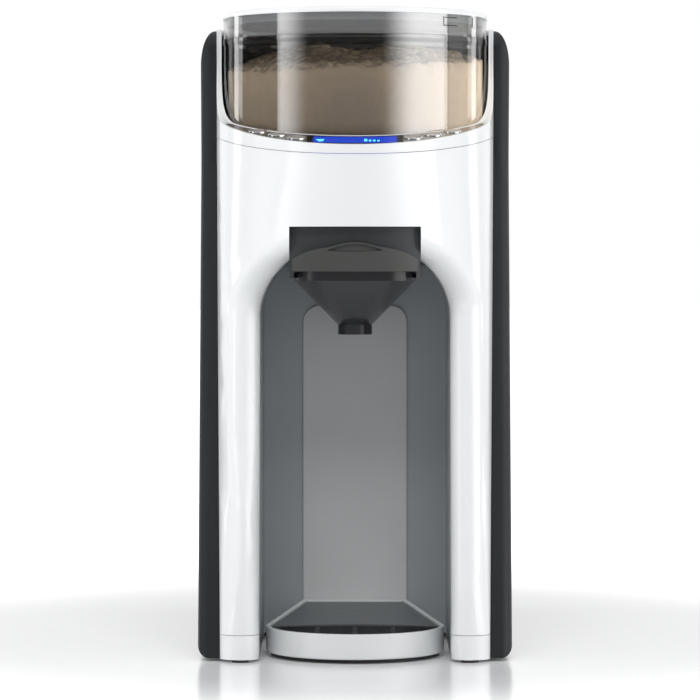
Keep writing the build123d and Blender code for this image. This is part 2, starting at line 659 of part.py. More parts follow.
def make_dispenser_dock():
    """Dark housing over the bottle: curved fascia, side walls with rails, roof with two openings."""
    outer = box(-DOCK_HALF, DOCK_HALF, FRONT_Y, DOCK_BACK_Y, DOCK_LOW_Z, DOCK_TOP_Z)
    body = outer & case_body(-FASCIA_INSET, 0)
    inner_half = DOCK_HALF - DOCK_WALL
    hollow = box(-inner_half, inner_half, FRONT_Y, DOCK_BACK_Y - DOCK_WALL, DOCK_LOW_Z - 5,
                 DOCK_TOP_Z - DOCK_WALL)
    body -= hollow & case_body(-FASCIA_INSET - DOCK_WALL, 0)
    body -= box(-inner_half, inner_half, FRONT_Y - 5, DOCK_BACK_Y - DOCK_WALL - 10,
                DOCK_LOW_Z - 5, FASCIA_LOW_Z)
    rail = box(inner_half - RAIL_REACH, inner_half + 0.5, RAIL_FRONT_Y, RAIL_BACK_Y, RAIL_LOW_Z, RAIL_HIGH_Z)
    body += both_sides(rail)
    body -= rod(0, POWDER_Y - OUTLET_RADIUS, DOCK_TOP_Z - 10, DOCK_TOP_Z + 10, CHUTE_R + 0.3)
    body -= rod(NOZZLE_X, NOZZLE_Y, DOCK_TOP_Z - 10, DOCK_TOP_Z + 10, 4.0)
    return body


# ---------------------------------------------------------------- funnel
def funnel_body(wall, top_z):
    """The funnel as a solid: straight rim, straight taper, round spout; wall draws it in."""
    half = FUNNEL_HALF - wall
    length = FUNNEL_BACK_Y - FUNNEL_FRONT_Y - 2 * wall
    mid_y = (FUNNEL_BACK_Y + FUNNEL_FRONT_Y) / 2
    throat = FUNNEL_THROAT_R - wall
    rim = Pos(0, mid_y, FUNNEL_RIM_Z) * RectangleRounded(2 * half, length, 16 - wall)
    neck = Pos(0, FUNNEL_OUTLET_Y, FUNNEL_THROAT_Z) * RectangleRounded(2 * throat, 2 * throat,
                                                                      throat - 0.01)
    body = loft([rim.face(), neck.face()], ruled=True)
    body += rod(0, FUNNEL_OUTLET_Y, FUNNEL_TIP_Z - (1 if wall else 0), FUNNEL_THROAT_Z + 0.5, throat)
    if top_z > FUNNEL_RIM_Z:
        body += extrude(rim, top_z - FUNNEL_RIM_Z)
    return body


def make_mixing_funnel():
    """Smoke funnel that slides in the dock's rails; grooves along both sides of its rim."""
    body = funnel_body(0, FUNNEL_TOP_Z)
    body -= funnel_body(FUNNEL_WALL, FUNNEL_RIM_Z)
    length = FUNNEL_BACK_Y - FUNNEL_FRONT_Y
    inset = FUNNEL_HALF - FUNNEL_INNER_HALF
    mouth = RectangleRounded(2 * FUNNEL_INNER_HALF, length - 2 * inset, 12)
    mouth = Pos(0, (FUNNEL_BACK_Y + FUNNEL_FRONT_Y) / 2, FUNNEL_RIM_Z - 0.01) * mouth
    body -= extrude(mouth, 20)
    groove = box(DOCK_HALF - DOCK_WALL - RAIL_REACH - SLIDE_CLEAR, 60, RAIL_FRONT_Y - 1, 0,
                 RAIL_LOW_Z - SLIDE_CLEAR, RAIL_HIGH_Z + SLIDE_CLEAR)
    return body - both_sides(groove)


def make_funnel_cover():
    """Cover of the funnel with the curved front handle and its raised thumb arch."""
    (sx, sz), top = HANDLE_SHOULDER, HANDLE_TOP_Z
    end_x, end_z, low = HANDLE_HALF, HANDLE_END_Z, HANDLE_LOW_Z
    outline = Curve() + [
        Line((-end_x, low), (end_x, low)),
        Line((end_x, low), (end_x, end_z)),
        ThreePointArc((end_x, end_z), (24.5, 214.8), (sx, sz)),
        Spline((sx, sz), (8.0, 218.6), (0, top), (-8.0, 218.6), (-sx, sz),
               tangents=[(-1, 0.15), (-1, -0.15)]),
        ThreePointArc((-sx, sz), (-24.5, 214.8), (-end_x, end_z)),
        Line((-end_x, end_z), (-end_x, low)),
    ]
    plate = Pos(0, FRONT_Y + 30, 0) * extrude(Plane.XZ * make_face(outline), 60)
    plate &= case_body(-0.3, 0) - case_body(-0.3 - HANDLE_THICK, 0)
    thumb = make_face(Curve() + [
        ThreePointArc((-THUMB_HALF, THUMB_END_Z), (0, THUMB_LOW_Z), (THUMB_HALF, THUMB_END_Z)),
        ThreePointArc((THUMB_HALF, THUMB_END_Z), (0, THUMB_TOP_Z), (-THUMB_HALF, THUMB_END_Z)),
    ])
    plate -= Pos(0, FRONT_Y + 30, 0) * extrude(Plane.XZ * thumb, 60) - case_body(-0.3 - THUMB_DEPTH, 0)
    front_y = FUNNEL_FRONT_Y
    cover_top = FUNNEL_TOP_Z + FUNNEL_COVER_THICK
    sheet = box(-FUNNEL_HALF, FUNNEL_HALF, FRONT_Y, FUNNEL_BACK_Y, FUNNEL_TOP_Z, cover_top)
    sheet &= case_body(-0.5 - HANDLE_THICK / 2, 0)
    sheet -= box(-FUNNEL_INNER_HALF, FUNNEL_INNER_HALF, *COVER_HOLE, FUNNEL_TOP_Z - 1, cover_top + 1)
    web = box(-FUNNEL_HALF + 6, FUNNEL_HALF - 6, FRONT_Y, front_y - 0.05, HANDLE_LOW_Z, cover_top)
    web &= case_body(-0.5 - HANDLE_THICK / 2, 0)
    return plate + sheet + web


# ---------------------------------------------------------------- powder container
def make_powder_container():
    """Smoke cup with an outlet near the front and a hole for the coupler in its floor."""
    low_z = CUP_LOW_Z
    body = rod(0, POWDER_Y, low_z, CUP_TOP_Z, CUP_R)
    body -= rod(0, POWDER_Y, low_z + CUP_FLOOR_THICK, CUP_TOP_Z + 5, CUP_R - CUP_WALL)
    body += tube(0, POWDER_Y, CUP_BAND_Z, CUP_TOP_Z, CUP_R + 0.35, CUP_R - CUP_WALL)
    body -= rod(0, POWDER_Y - OUTLET_RADIUS, low_z - 5, low_z + 8, POCKET_R + 0.5)
    body -= rod(0, POWDER_Y, low_z - 5, low_z + 8, COUPLER_HOLE_R)
    return body


def make_powder_wheel():
    """Measuring wheel with round pockets and a square socket for the coupler."""
    z0 = WHEEL_LOW_Z
    body = rod(0, POWDER_Y, z0, z0 + WHEEL_THICK, WHEEL_R)
    for i in range(POCKET_COUNT):
        turn = 2 * pi * (i + 0.5) / POCKET_COUNT - pi / 2
        body -= rod(OUTLET_RADIUS * cos(turn), POWDER_Y + OUTLET_RADIUS * sin(turn), z0 - 1,
                    z0 + WHEEL_THICK + 1, POCKET_R)
    body += rod(0, POWDER_Y, z0 + WHEEL_THICK, z0 + WHEEL_THICK + 4, 11)
    side = COUPLER_SIDE / 2 + 0.25
    body -= box(-side, side, POWDER_Y - side, POWDER_Y + side, z0 - 1, z0 + WHEEL_THICK + 1.2)
    return body


def make_scraper_cover():
    """Fixed cover over the outlet, so that only a full pocket can empty; clipped to the floor."""
    z0 = WHEEL_LOW_Z + WHEEL_THICK + 0.3
    reach = WHEEL_R + 4
    face = make_face(Curve() + [
        Line((0, 0), (reach * sin(0.55), -reach * cos(0.55))),
        ThreePointArc((reach * sin(0.55), -reach * cos(0.55)), (0, -reach),
                      (-reach * sin(0.55), -reach * cos(0.55))),
        Line((-reach * sin(0.55), -reach * cos(0.55)), (0, 0)),
    ])
    plate = extrude(Pos(0, POWDER_Y, z0) * face, 1.8) - rod(0, POWDER_Y, z0 - 1, z0 + 5, 13)
    foot_z = CUP_LOW_Z + CUP_FLOOR_THICK
    foot = tube(0, POWDER_Y, foot_z, z0 + 1.8, reach, reach - 3.2)
    foot &= box(-reach * sin(0.55), reach * sin(0.55), POWDER_Y - reach, POWDER_Y - reach * 0.8,
                foot_z, z0 + 5)
    return plate + foot


def make_stirrer():
    """Stirrer on the wheel hub: low cross arm and an upright post."""
    z0 = WHEEL_LOW_Z + WHEEL_THICK + 4
    body = rod(0, POWDER_Y, z0, z0 + 22, 7)
    body += box(-STIR_ARM_R, STIR_ARM_R, POWDER_Y - 2, POWDER_Y + 2, z0, z0 + 6)
    body += box(STIR_POST_X - 5, STIR_POST_X + 5, POWDER_Y - 1.6, POWDER_Y + 1.6, z0, STIR_POST_TOP_Z)
    body += box(STIR_POST_X, 0, POWDER_Y - 1.6, POWDER_Y + 1.6, z0 + 14, z0 + 20)
    return body


def make_lid_skirt():
    """Clear ring of the lid, with a plug that reaches into the cup and holds the seal."""
    z0 = LID_LOW_Z
    body = tube(0, POWDER_Y, z0, z0 + LID_SKIRT_HEIGHT, CUP_R, CUP_R - 2.2)
    body += tube(0, POWDER_Y, z0, z0 + 1.8, CUP_R, LID_PLUG_R - 2.2)
    body += tube(0, POWDER_Y, z0 - 6, z0, LID_PLUG_R, LID_PLUG_R - 2.2)
    body -= tube(0, POWDER_Y, z0 - 4.2, z0 - 1.8, LID_PLUG_R + 1, LID_PLUG_R - 1.0)
    return body


def make_lid_top():
    """White lid disc with a slightly domed top and a turned-down rim inside the skirt."""
    z0 = LID_LOW_Z + LID_SKIRT_HEIGHT
    body = rod(0, POWDER_Y, z0, z0 + LID_TOP_THICK, CUP_R)
    rim = body.faces().sort_by(Axis.Z)[-1].edges()
    body = fillet(rim, 2.0)
    body += tube(0, POWDER_Y, z0 - 4, z0, CUP_R - 2.3, CUP_R - 4.4)
    return body


def make_lid_seal():
    """Silicone ring in the groove of the lid plug."""
    return tube(0, POWDER_Y, LID_LOW_Z - 4.1, LID_LOW_Z - 1.9, CUP_R - CUP_WALL - 0.3, LID_PLUG_R - 0.95)


def make_powder_chute():
    """Tube that carries the measured powder from the well floor into the dock."""
    x, y = 0, POWDER_Y - OUTLET_RADIUS
    top = WELL_FLOOR_Z - WELL_FLOOR_THICK
    body = rod(x, y, CHUTE_LOW_Z, top, CHUTE_R) + rod(x, y, top - 2.4, top, CHUTE_R + 2.5)
    return body - rod(x, y, CHUTE_LOW_Z - 1, top + 1, CHUTE_R - CHUTE_WALL)


# ---------------------------------------------------------------- powder drive
def make_drive_gear():
    """Large gear on a round shaft that stands in two bushings."""
    gear = Pos(0, POWDER_Y, GEAR_LOW_Z) * extrude(gear_face(GEAR_TEETH, pi / GEAR_TEETH + pi / 2),
                                                  GEAR_THICK)
    for i in range(4):
        turn = pi / 4 + i * pi / 2
        gear -= rod(15 * cos(turn), POWDER_Y + 15 * sin(turn), GEAR_LOW_Z - 1, GEAR_LOW_Z + 20, 4.5)
    return gear + rod(0, POWDER_Y, DECK_Z - 4, COUPLER_LOW_Z, DRIVE_SHAFT_R)


def make_drive_coupler():
    """Square dog on top of the drive shaft that turns the wheel in the cup."""
    half = COUPLER_SIDE / 2
    body = rod(0, POWDER_Y, COUPLER_LOW_Z, COUPLER_LOW_Z + 1.2, 6.2)
    return body + box(-half, half, POWDER_Y - half, POWDER_Y + half, COUPLER_LOW_Z + 1.2,
                      WHEEL_LOW_Z + WHEEL_THICK)


def make_shaft_bushings():
    """Upper and lower plain bearings of the drive shaft."""
    bore = DRIVE_SHAFT_R + SHAFT_CLEAR
    top_z = WELL_FLOOR_Z
    upper = rod(0, POWDER_Y, GEAR_LOW_Z + GEAR_THICK + 1, top_z, BUSH_R)
    upper += rod(0, POWDER_Y, GEAR_LOW_Z + GEAR_THICK + 1, top_z - WELL_FLOOR_THICK, BUSH_R + 2.5)
    lower = rod(0, POWDER_Y, DECK_Z - 2, GEAR_LOW_Z - 0.5, BUSH_R)
    lower += rod(0, POWDER_Y, DECK_Z + DECK_THICK, DECK_Z + DECK_THICK + 2, BUSH_R + 2.5)
    bored = rod(0, POWDER_Y, 200, 300, bore)
    return Compound(children=[upper - bored, lower - bored])


def make_drive_motor():
    """Geared motor under the deck."""
    y = POWDER_Y + GEAR_DISTANCE
    body = rod(0, y, DECK_Z - MOTOR_LENGTH, DECK_Z, MOTOR_R)
    body = fillet(body.edges().group_by(Axis.Z)[0], 2)
    body += box(-5, -2, y - 1, y + 1, DECK_Z - MOTOR_LENGTH - 4, DECK_Z - MOTOR_LENGTH + 1)
    body += box(2, 5, y - 1, y + 1, DECK_Z - MOTOR_LENGTH - 4, DECK_Z - MOTOR_LENGTH + 1)
    body -= rod(0, y, DECK_Z - 12, DECK_Z + 1, MOTOR_SHAFT_R + SHAFT_CLEAR)
    for x in (-MOTOR_SCREW_X, MOTOR_SCREW_X):
        body -= rod(x, y, DECK_Z + DECK_THICK - SCREW_LENGTH - 1, DECK_Z + 1, SCREW_R)
    return body


def make_motor_pinion():
    """Small gear with the motor shaft."""
    y = POWDER_Y + GEAR_DISTANCE
    gear = Pos(0, y, GEAR_LOW_Z) * extrude(gear_face(PINION_TEETH, pi / 2), GEAR_THICK)
    gear += rod(0, y, GEAR_LOW_Z - 4, GEAR_LOW_Z, 5)
    return gear + rod(0, y, DECK_Z - 11, GEAR_LOW_Z + GEAR_THICK + 0.8, MOTOR_SHAFT_R)


def make_chassis():
    """Upright frame behind the bay with the deck that carries the motor and the lower bushing."""
    wall = box(-CHASSIS_HALF, CHASSIS_HALF, CHASSIS_Y, CHASSIS_Y + CHASSIS_THICK, PLATE_TOP_Z,
               DECK_Z + DECK_THICK)
    deck = box(-CHASSIS_HALF, CHASSIS_HALF, DECK_FRONT_Y, CHASSIS_Y + 1, DECK_Z, DECK_Z + DECK_THICK)
    ribs = box(CHASSIS_HALF - DECK_THICK, CHASSIS_HALF, BAY_BACK_Y + LINER_WALL + 4, CHASSIS_Y + 1, CHASSIS_RIB_Z,
               DECK_Z + 1)
    body = wall + deck + both_sides(ribs)
    body -= rod(0, POWDER_Y, DECK_Z - 5, DECK_Z + 10, BUSH_R)
    y = POWDER_Y + GEAR_DISTANCE
    body -= rod(0, y, DECK_Z - 5, DECK_Z + 10, 3.5)
    for x in (-MOTOR_SCREW_X, MOTOR_SCREW_X):
        body -= rod(x, y, DECK_Z - 5, DECK_Z + 10, SCREW_R)
    body -= rod_y(NOZZLE_X, CHASSIS_Y - 5, CHASSIS_Y + 10, NOZZLE_Z, TUBE_R + 1)
    shelf = box(HEATER_X - 12, HEATER_X + 12, CHASSIS_Y + CHASSIS_THICK, HEATER_Y + 12, 90, 93)
    shelf -= rod(HEATER_X, HEATER_Y, 80, 110, TUBE_R + 1)
    return body + shelf


# ---------------------------------------------------------------- control panel
def button_points():
    """Plan places of the six buttons."""
    return [(side * x, y) for side in (-1, 1) for x, y in BUTTON_SPOTS]


def board_posts():
    """Plan places of the posts that carry the control board."""
    return [(side * x, y) for side in (-1, 1) for x, y in BOARD_POSTS]


def make_control_panel():
    """Grey crescent plate with the button holes and the screen window."""
    body = crescent(PANEL_RIM) & panel_slab(-PANEL_THICK, 0)
    for x, y in button_points():
        body -= on_panel(x, y, -20, 5, BUTTON_R + 0.25)
    window = crescent(PANEL_RIM + 0.9, PANEL_BACK_Y, 3.3) & box(-LENS_HALF, LENS_HALF, FRONT_Y, POWDER_Y,
                                                               240, 300)
    return body - window


def make_display_lens():
    """Black gloss window in the middle of the panel."""
    lens = crescent(PANEL_RIM + 1.0, PANEL_BACK_Y, 3.4) & panel_slab(-PANEL_THICK, 0.1)
    return lens & box(-LENS_HALF + 0.1, LENS_HALF - 0.1, FRONT_Y, POWDER_Y, 240, 300)


def make_display_module():
    """Lit display under the window, in the opening of the panel bed."""
    module = crescent(PANEL_RIM + 3.0, PANEL_BACK_Y, 4.4) & panel_slab(-BOARD_DEPTH, -PANEL_THICK)
    return module & box(-SCREEN_HALF, SCREEN_HALF, FRONT_Y, POWDER_Y, 240, 300)


def make_control_board():
    """Crescent circuit board with a tactile switch under each button."""
    body = crescent(4.0, PANEL_BACK_Y - 8, 3.2) & panel_slab(-BOARD_DEPTH - BOARD_THICK, -BOARD_DEPTH)
    low = -BOARD_DEPTH
    for x, y in button_points():
        spot = panel_plane().to_local_coords(Vector(x, y, panel_height(y)))
        switch = Pos(spot.X, spot.Y, (low + SWITCH_TOP) / 2) * Box(SWITCH_BODY, SWITCH_BODY, SWITCH_TOP - low)
        body += panel_plane() * switch
    return body


def button_room(x, y):
    """The free space in the panel bed around one button."""
    return on_panel(x, y, -PANEL_BED_DEPTH - 1, 5, BUTTON_R + BUTTON_FLANGE + 0.3)


def make_button(x, y):
    """Round button with a retaining flange under the panel."""
    cap = on_panel(x, y, BUTTON_FLANGE_LOW, BUTTON_PROUD, BUTTON_R)
    cap = fillet(cap.edges().sort_by(Axis.Z)[-1], 0.45)
    return cap + on_panel(x, y, BUTTON_FLANGE_LOW, BUTTON_FLANGE_LOW + 0.8, BUTTON_R + BUTTON_FLANGE)


# ---------------------------------------------------------------- drip tray
def tray_face(inset, z):
    """Plan of the tray: round front, sides that close in towards the back."""
    r = TRAY_R - inset
    back_half = TRAY_BACK_HALF - inset
    back_y = TRAY_BACK_Y - inset
    outline = Curve() + [
        ThreePointArc((-r, TRAY_Y), (0, TRAY_Y - r), (r, TRAY_Y)),
        Line((r, TRAY_Y), (back_half, back_y)),
        Line((back_half, back_y), (-back_half, back_y)),
        Line((-back_half, back_y), (-r, TRAY_Y)),
    ]
    return Pos(0, 0, z) * make_face(outline)


def tray_roof(drop):
    """What lies above the tray's rim line, lowered by drop: level in front, rising at the back."""
    z0, z1 = TRAY_TOP_Z - drop, TRAY_BACK_Z - drop
    outline = Polyline((FRONT_Y - 10, z0), (TRAY_Y, z0), (TRAY_BACK_Y, z1), (TRAY_BACK_Y + 10, z1),
                       (TRAY_BACK_Y + 10, 60), (FRONT_Y - 10, 60), close=True)
    return Pos(-80, 0, 0) * extrude(Plane.YZ * make_face(outline), 160)


def grille_back():
    """Everything behind the curved rear edge of the grille."""
    r = (TRAY_R ** 2 + GRILLE_BACK_SAG ** 2) / (2 * GRILLE_BACK_SAG)
    cut = box(-80, 80, TRAY_Y - 5, TRAY_BACK_Y + 20, 0, 60)
    return cut - rod(0, TRAY_Y + GRILLE_BACK_SAG - r, -10, 70, r)


def make_drip_tray():
    """White tray: rounded front wall, basin under the grille, low ramp walls to the back."""
    body = extrude(tray_face(0, TRAY_LOW_Z), 30) - tray_roof(0)
    low = body.faces().sort_by(Axis.Z)[0].edges()
    body = fillet(low, EDGE_ROUND)
    body -= extrude(tray_face(TRAY_WALL, TRAY_LOW_Z + TRAY_FLOOR), 40)
    return body


def make_tray_grille():
    """Black ribbed grate, lifted out of the tray by hand, on three short legs."""
    z0 = GRILLE_TOP_Z - GRILLE_THICK
    body = extrude(tray_face(TRAY_WALL + SLIDE_CLEAR, z0), GRILLE_THICK) - grille_back()
    inner = extrude(tray_face(TRAY_WALL + 4.5, z0 - 1), 10) - Pos(0, -4, 0) * grille_back()
    slots = [box(-60, 60, y - RIB_SLOT / 2, y + RIB_SLOT / 2, z0 - 5, z0 + 10) for y in rib_rows()]
    webs = box(-1.2, 1.2, -200, 0, 0, 50) + both_sides(box(18.8, 21.2, -200, 0, 0, 50))
    body -= (Compound(children=slots) & inner) - webs
    for x, y in ((-30, TRAY_Y - 10), (30, TRAY_Y - 10), (0, TRAY_Y - 40)):
        body += rod(x, y, TRAY_LOW_Z + TRAY_FLOOR, z0 + 1, 2.0)
    return body


def rib_rows():
    """Centre lines of the grille slots, front to back."""
    count = int((TRAY_R - TRAY_WALL - 6) / RIB_PITCH)
    return [TRAY_Y + 2.5 - i * RIB_PITCH for i in range(count + 1)]


def make_tray_deck():
    """Grey ramp behind the grille, set into the tray."""
    body = extrude(tray_face(TRAY_WALL + 0.1, TRAY_LOW_Z + TRAY_FLOOR), 30)
    body &= Pos(0, SLIDE_CLEAR, 0) * grille_back()
    hollow = extrude(tray_face(TRAY_WALL + 2.1, TRAY_LOW_Z), 40) & Pos(0, SLIDE_CLEAR + 2, 0) * grille_back()
    return body - tray_roof(TRAY_DECK_DROP) - (hollow - tray_roof(TRAY_DECK_DROP + 2))


# ---------------------------------------------------------------- water tank
def tank_block(inset, z0, z1):
    """Rounded box of the tank, drawn in by inset."""
    mid = (TANK_FRONT_Y + TANK_BACK_Y) / 2
    face = RectangleRounded(2 * (TANK_HALF - inset), TANK_BACK_Y - TANK_FRONT_Y - 2 * inset,
                            TANK_CORNER_R - inset)
    return Pos(0, mid, z0) * extrude(face, z1 - z0)


def make_water_tank():
    """Smoke-clear tank with an outlet hole, a float pin and two hinge lugs."""
    body = tank_block(0, TANK_LOW_Z, TANK_TOP_Z)
    body -= tank_block(TANK_WALL, TANK_LOW_Z + TANK_WALL, TANK_TOP_Z + 5)
    body -= rod(VALVE_X, VALVE_Y, TANK_LOW_Z - 5, TANK_LOW_Z + 5, VALVE_NECK_R + 0.1)
    pin_top = TANK_LOW_Z + TANK_WALL + FLOAT_TRAVEL + 20
    body += rod(FLOAT_X, VALVE_Y, TANK_LOW_Z + 1, pin_top, FLOAT_PIN_R)
    lug_end = TANK_LUG_X + TANK_LUG_WIDE
    lug = box(TANK_LUG_X, lug_end, TANK_FRONT_Y, TANK_HINGE_Y + HINGE_EAR_R, TANK_TOP_Z - 6, TANK_HINGE_Z)
    lug += rod_x(TANK_LUG_X, lug_end, TANK_HINGE_Y, TANK_HINGE_Z, HINGE_EAR_R)
    lug -= rod_x(TANK_LUG_X - 5, lug_end + 5, TANK_HINGE_Y, TANK_HINGE_Z, HINGE_PIN_R)
    return body + both_sides(lug)


def make_tank_lid():
    """Dark tank lid with two knuckles and a finger tab."""
    z0 = TANK_TOP_Z + 0.4
    body = tank_block(0, z0, z0 + TANK_LID_THICK)
    above, gap = z0 + 20, 0.4
    lug_end = TANK_LUG_X + TANK_LUG_WIDE
    body -= box(-100, 100, 0, TANK_HINGE_Y - 1.4, z0 - 1, above)
    body -= both_sides(box(TANK_LUG_X - gap, lug_end + gap, 0, TANK_HINGE_Y + HINGE_EAR_R + gap, z0 - 1, above))
    body += box(-14, 14, TANK_BACK_Y - 4, BACK_Y, z0, z0 + TANK_LID_THICK)
    x0, x1 = TANK_LUG_X - gap - 0.2 - TANK_KNUCKLE_WIDE, TANK_LUG_X - gap - 0.2
    knuckle = rod_x(x0, x1, TANK_HINGE_Y, TANK_HINGE_Z, HINGE_EAR_R)
    knuckle += box(x0, x1, TANK_HINGE_Y - 1.4, TANK_HINGE_Y + HINGE_EAR_R + 1.5, z0, TANK_HINGE_Z - 0.8)
    knuckle -= rod_x(x0 - 3, x1 + 3, TANK_HINGE_Y, TANK_HINGE_Z, HINGE_PIN_R + SHAFT_CLEAR)
    return body + both_sides(knuckle)


def make_tank_hinge_pins():
    """Two short pins through the tank's lugs into the lid's knuckles."""
    pin = rod_x(TANK_LUG_X - 0.6 - TANK_KNUCKLE_WIDE, TANK_LUG_X + TANK_LUG_WIDE, TANK_HINGE_Y, TANK_HINGE_Z,
                HINGE_PIN_R)
    return both_sides(pin)


def make_tank_float():
    """Level float that rides on the pin in the tank."""
    z0 = TANK_LOW_Z + TANK_WALL + 0.3
    body = rod(FLOAT_X, VALVE_Y, z0, z0 + 12, FLOAT_R)
    body = fillet(body.edges(), 1.5)
    return body - rod(FLOAT_X, VALVE_Y, z0 - 1, z0 + 20, FLOAT_PIN_R + SHAFT_CLEAR)


def make_valve_housing():
    """Valve cage in the tank floor: flange, seat and a tower with windows."""
    floor = TANK_LOW_Z + TANK_WALL
    seat = floor + 2
    top = seat + 14
    body = rod(VALVE_X, VALVE_Y, TANK_LOW_Z, floor, VALVE_NECK_R)
    body += rod(VALVE_X, VALVE_Y, floor, seat, 12)
    body += rod(VALVE_X, VALVE_Y, seat, top, 8)
    body -= rod(VALVE_X, VALVE_Y, seat, top - 2, 6.6)
    body -= rod(VALVE_X, VALVE_Y, TANK_LOW_Z - 1, seat + 1, SPIGOT_R + 0.5)
    body -= rod(VALVE_X, VALVE_Y, top - 5, top + 5, 2.0 + SHAFT_CLEAR)
    body -= box(VALVE_X - 3, VALVE_X + 3, VALVE_Y - 12, VALVE_Y + 12, seat + 3, top - 4)
    return body


def make_valve_plunger():
    """Spring-loaded plunger; the spigot of the machine lifts it when the tank is seated."""
    seat = TANK_LOW_Z + TANK_WALL + 2
    body = rod(VALVE_X, VALVE_Y, seat + 1.2, seat + 2.6, 6.2)
    body += rod(VALVE_X, VALVE_Y, seat + 2.6, seat + 15, 2.0)
    return body + rod(VALVE_X, VALVE_Y, SPIGOT_TOP_Z + 0.3, seat + 1.2, 1.5)


def make_valve_seal():
    """Rubber ring under the plunger head."""
    seat = TANK_LOW_Z + TANK_WALL + 2
    return tube(VALVE_X, VALVE_Y, seat + 0.05, seat + 1.2, 6.0, SPIGOT_R + 0.6)


def make_valve_spring():
    """Closing spring of the plunger."""
    low = TANK_LOW_Z + TANK_WALL + 2 + 2.6 + 0.4
    high = TANK_LOW_Z + TANK_WALL + 2 + 12 - 0.4
    helix = Helix(pitch=(high - low - 0.2) / 4, height=high - low - 0.2, radius=4.2)
    wire = sweep(Plane(origin=helix @ 0, z_dir=helix % 0) * Circle(0.4), path=helix)
    return Pos(VALVE_X, VALVE_Y, low + 0.1) * wire


def make_inlet_spigot():
    """Spigot on the tank shelf that opens the valve and takes the water."""
    body = rod(VALVE_X, VALVE_Y, SHELF_Z - 12, SPIGOT_TOP_Z, SPIGOT_R)
    body += rod(VALVE_X, VALVE_Y, SHELF_Z - CASE_WALL - 2.5, SHELF_Z - CASE_WALL, SPIGOT_R + 4)
    body -= rod(VALVE_X, VALVE_Y, SHELF_Z - 13, SPIGOT_TOP_Z + 1, 1.2)
    return body + tube(VALVE_X, VALVE_Y, SHELF_Z - 20, SHELF_Z - 12, STUB_R, 1.2)


# ---------------------------------------------------------------- water path and electrics
def make_water_pump():
    """Pump on the base plate with a side inlet and a top outlet."""
    body = rod(VALVE_X, PUMP_Y, PUMP_LOW_Z, PUMP_TOP_Z, PUMP_R)
    body = fillet(body.edges(), 2)
    body += box(VALVE_X - 12, VALVE_X + 12, PUMP_Y - 12, PUMP_Y + 12, PLATE_TOP_Z, PUMP_LOW_Z + 2)
    body += rod_y(VALVE_X, PUMP_Y + PUMP_R - 2, PUMP_Y + PUMP_R + 8, PUMP_PORT_Z, STUB_R)
    return body + rod(VALVE_X, PUMP_Y, PUMP_TOP_Z - 2, PUMP_TOP_Z + 8, STUB_R)


def make_water_heater():
    """Upright flow heater on the chassis shelf with a stub at each end."""
    body = rod(HEATER_X, HEATER_Y, HEATER_LOW_Z, HEATER_TOP_Z, HEATER_R)
    body = fillet(body.edges(), 3)
    for z in (HEATER_LOW_Z + 14, HEATER_TOP_Z - 17):
        body += tube(HEATER_X, HEATER_Y, z, z + 3, HEATER_R + 1.2, HEATER_R - 1)
    legs = tube(HEATER_X, HEATER_Y, 93, HEATER_LOW_Z + 4, 9, 7)
    body += legs
    body += rod(HEATER_X, HEATER_Y, HEATER_LOW_Z - 8, HEATER_LOW_Z + 1, STUB_R)
    return body + rod(HEATER_X, HEATER_Y, HEATER_TOP_Z - 1, HEATER_TOP_Z + 8, STUB_R)


def make_water_tubes():
    """Silicone tubes: spigot to pump, pump to heater, heater over the bay to the nozzle."""
    turn_z = PUMP_TOP_Z + 22
    inlet = pipe([(VALVE_X, VALVE_Y, SHELF_Z - 12.1), (VALVE_X, VALVE_Y, PUMP_PORT_Z),
                  (VALVE_X, PUMP_Y + PUMP_R + 0.1, PUMP_PORT_Z)], 18)
    feed = pipe([(VALVE_X, PUMP_Y, PUMP_TOP_Z + 0.1), (VALVE_X, PUMP_Y, turn_z),
                 (HEATER_X, HEATER_Y, turn_z), (HEATER_X, HEATER_Y, HEATER_LOW_Z - 0.1)], 10)
    spray = pipe([(HEATER_X, HEATER_Y, HEATER_TOP_Z + 0.1), (HEATER_X, HEATER_Y, NOZZLE_Z),
                  (HEATER_X, NOZZLE_Y + 5.1, NOZZLE_Z)], 20)
    return Compound(children=[inlet, feed, spray])


def make_water_nozzle():
    """Nozzle that squirts hot water into the funnel."""
    x, y = NOZZLE_X, NOZZLE_Y
    body = rod(x, y, NOZZLE_LOW_Z, NOZZLE_Z + 4, 3.8) + rod(x, y, DOCK_TOP_Z, DOCK_TOP_Z + 2, 7)
    body += rod_y(x, y, y + 5, NOZZLE_Z, 3.8) + rod_y(x, y + 5, y + 13, NOZZLE_Z, STUB_R)
    return body - rod(x, y, NOZZLE_LOW_Z - 1, NOZZLE_Z, 1.6)


def make_main_board():
    """Main circuit board on the back of the chassis."""
    y = CHASSIS_Y + CHASSIS_THICK
    (x0, x1), (z0, z1) = MAIN_BOARD_X, MAIN_BOARD_Z
    top = y + MAIN_BOARD_STAND + BOARD_THICK
    body = box(x0, x1, y + MAIN_BOARD_STAND, top, z0, z1)
    for x in (x0 + 4, x1 - 4):
        for z in (z0 + 4, z1 - 4):
            body += rod_y(x, y, y + MAIN_BOARD_STAND + 0.5, z, 2)
    body += box(x0 + 8, x0 + 24, top, top + 2, z0 + 30, z0 + 46)
    body += box(x1 - 20, x1 - 6, top, top + 12, z0 + 10, z0 + 20)
    for x in (x0 + 12, x0 + 25):
        body += rod_y(x, top, top + 14, z1 - 14, 5)
    return body + box(x1 - 18, x1 - 6, top, top + 8, z0 + 36, z0 + 66)


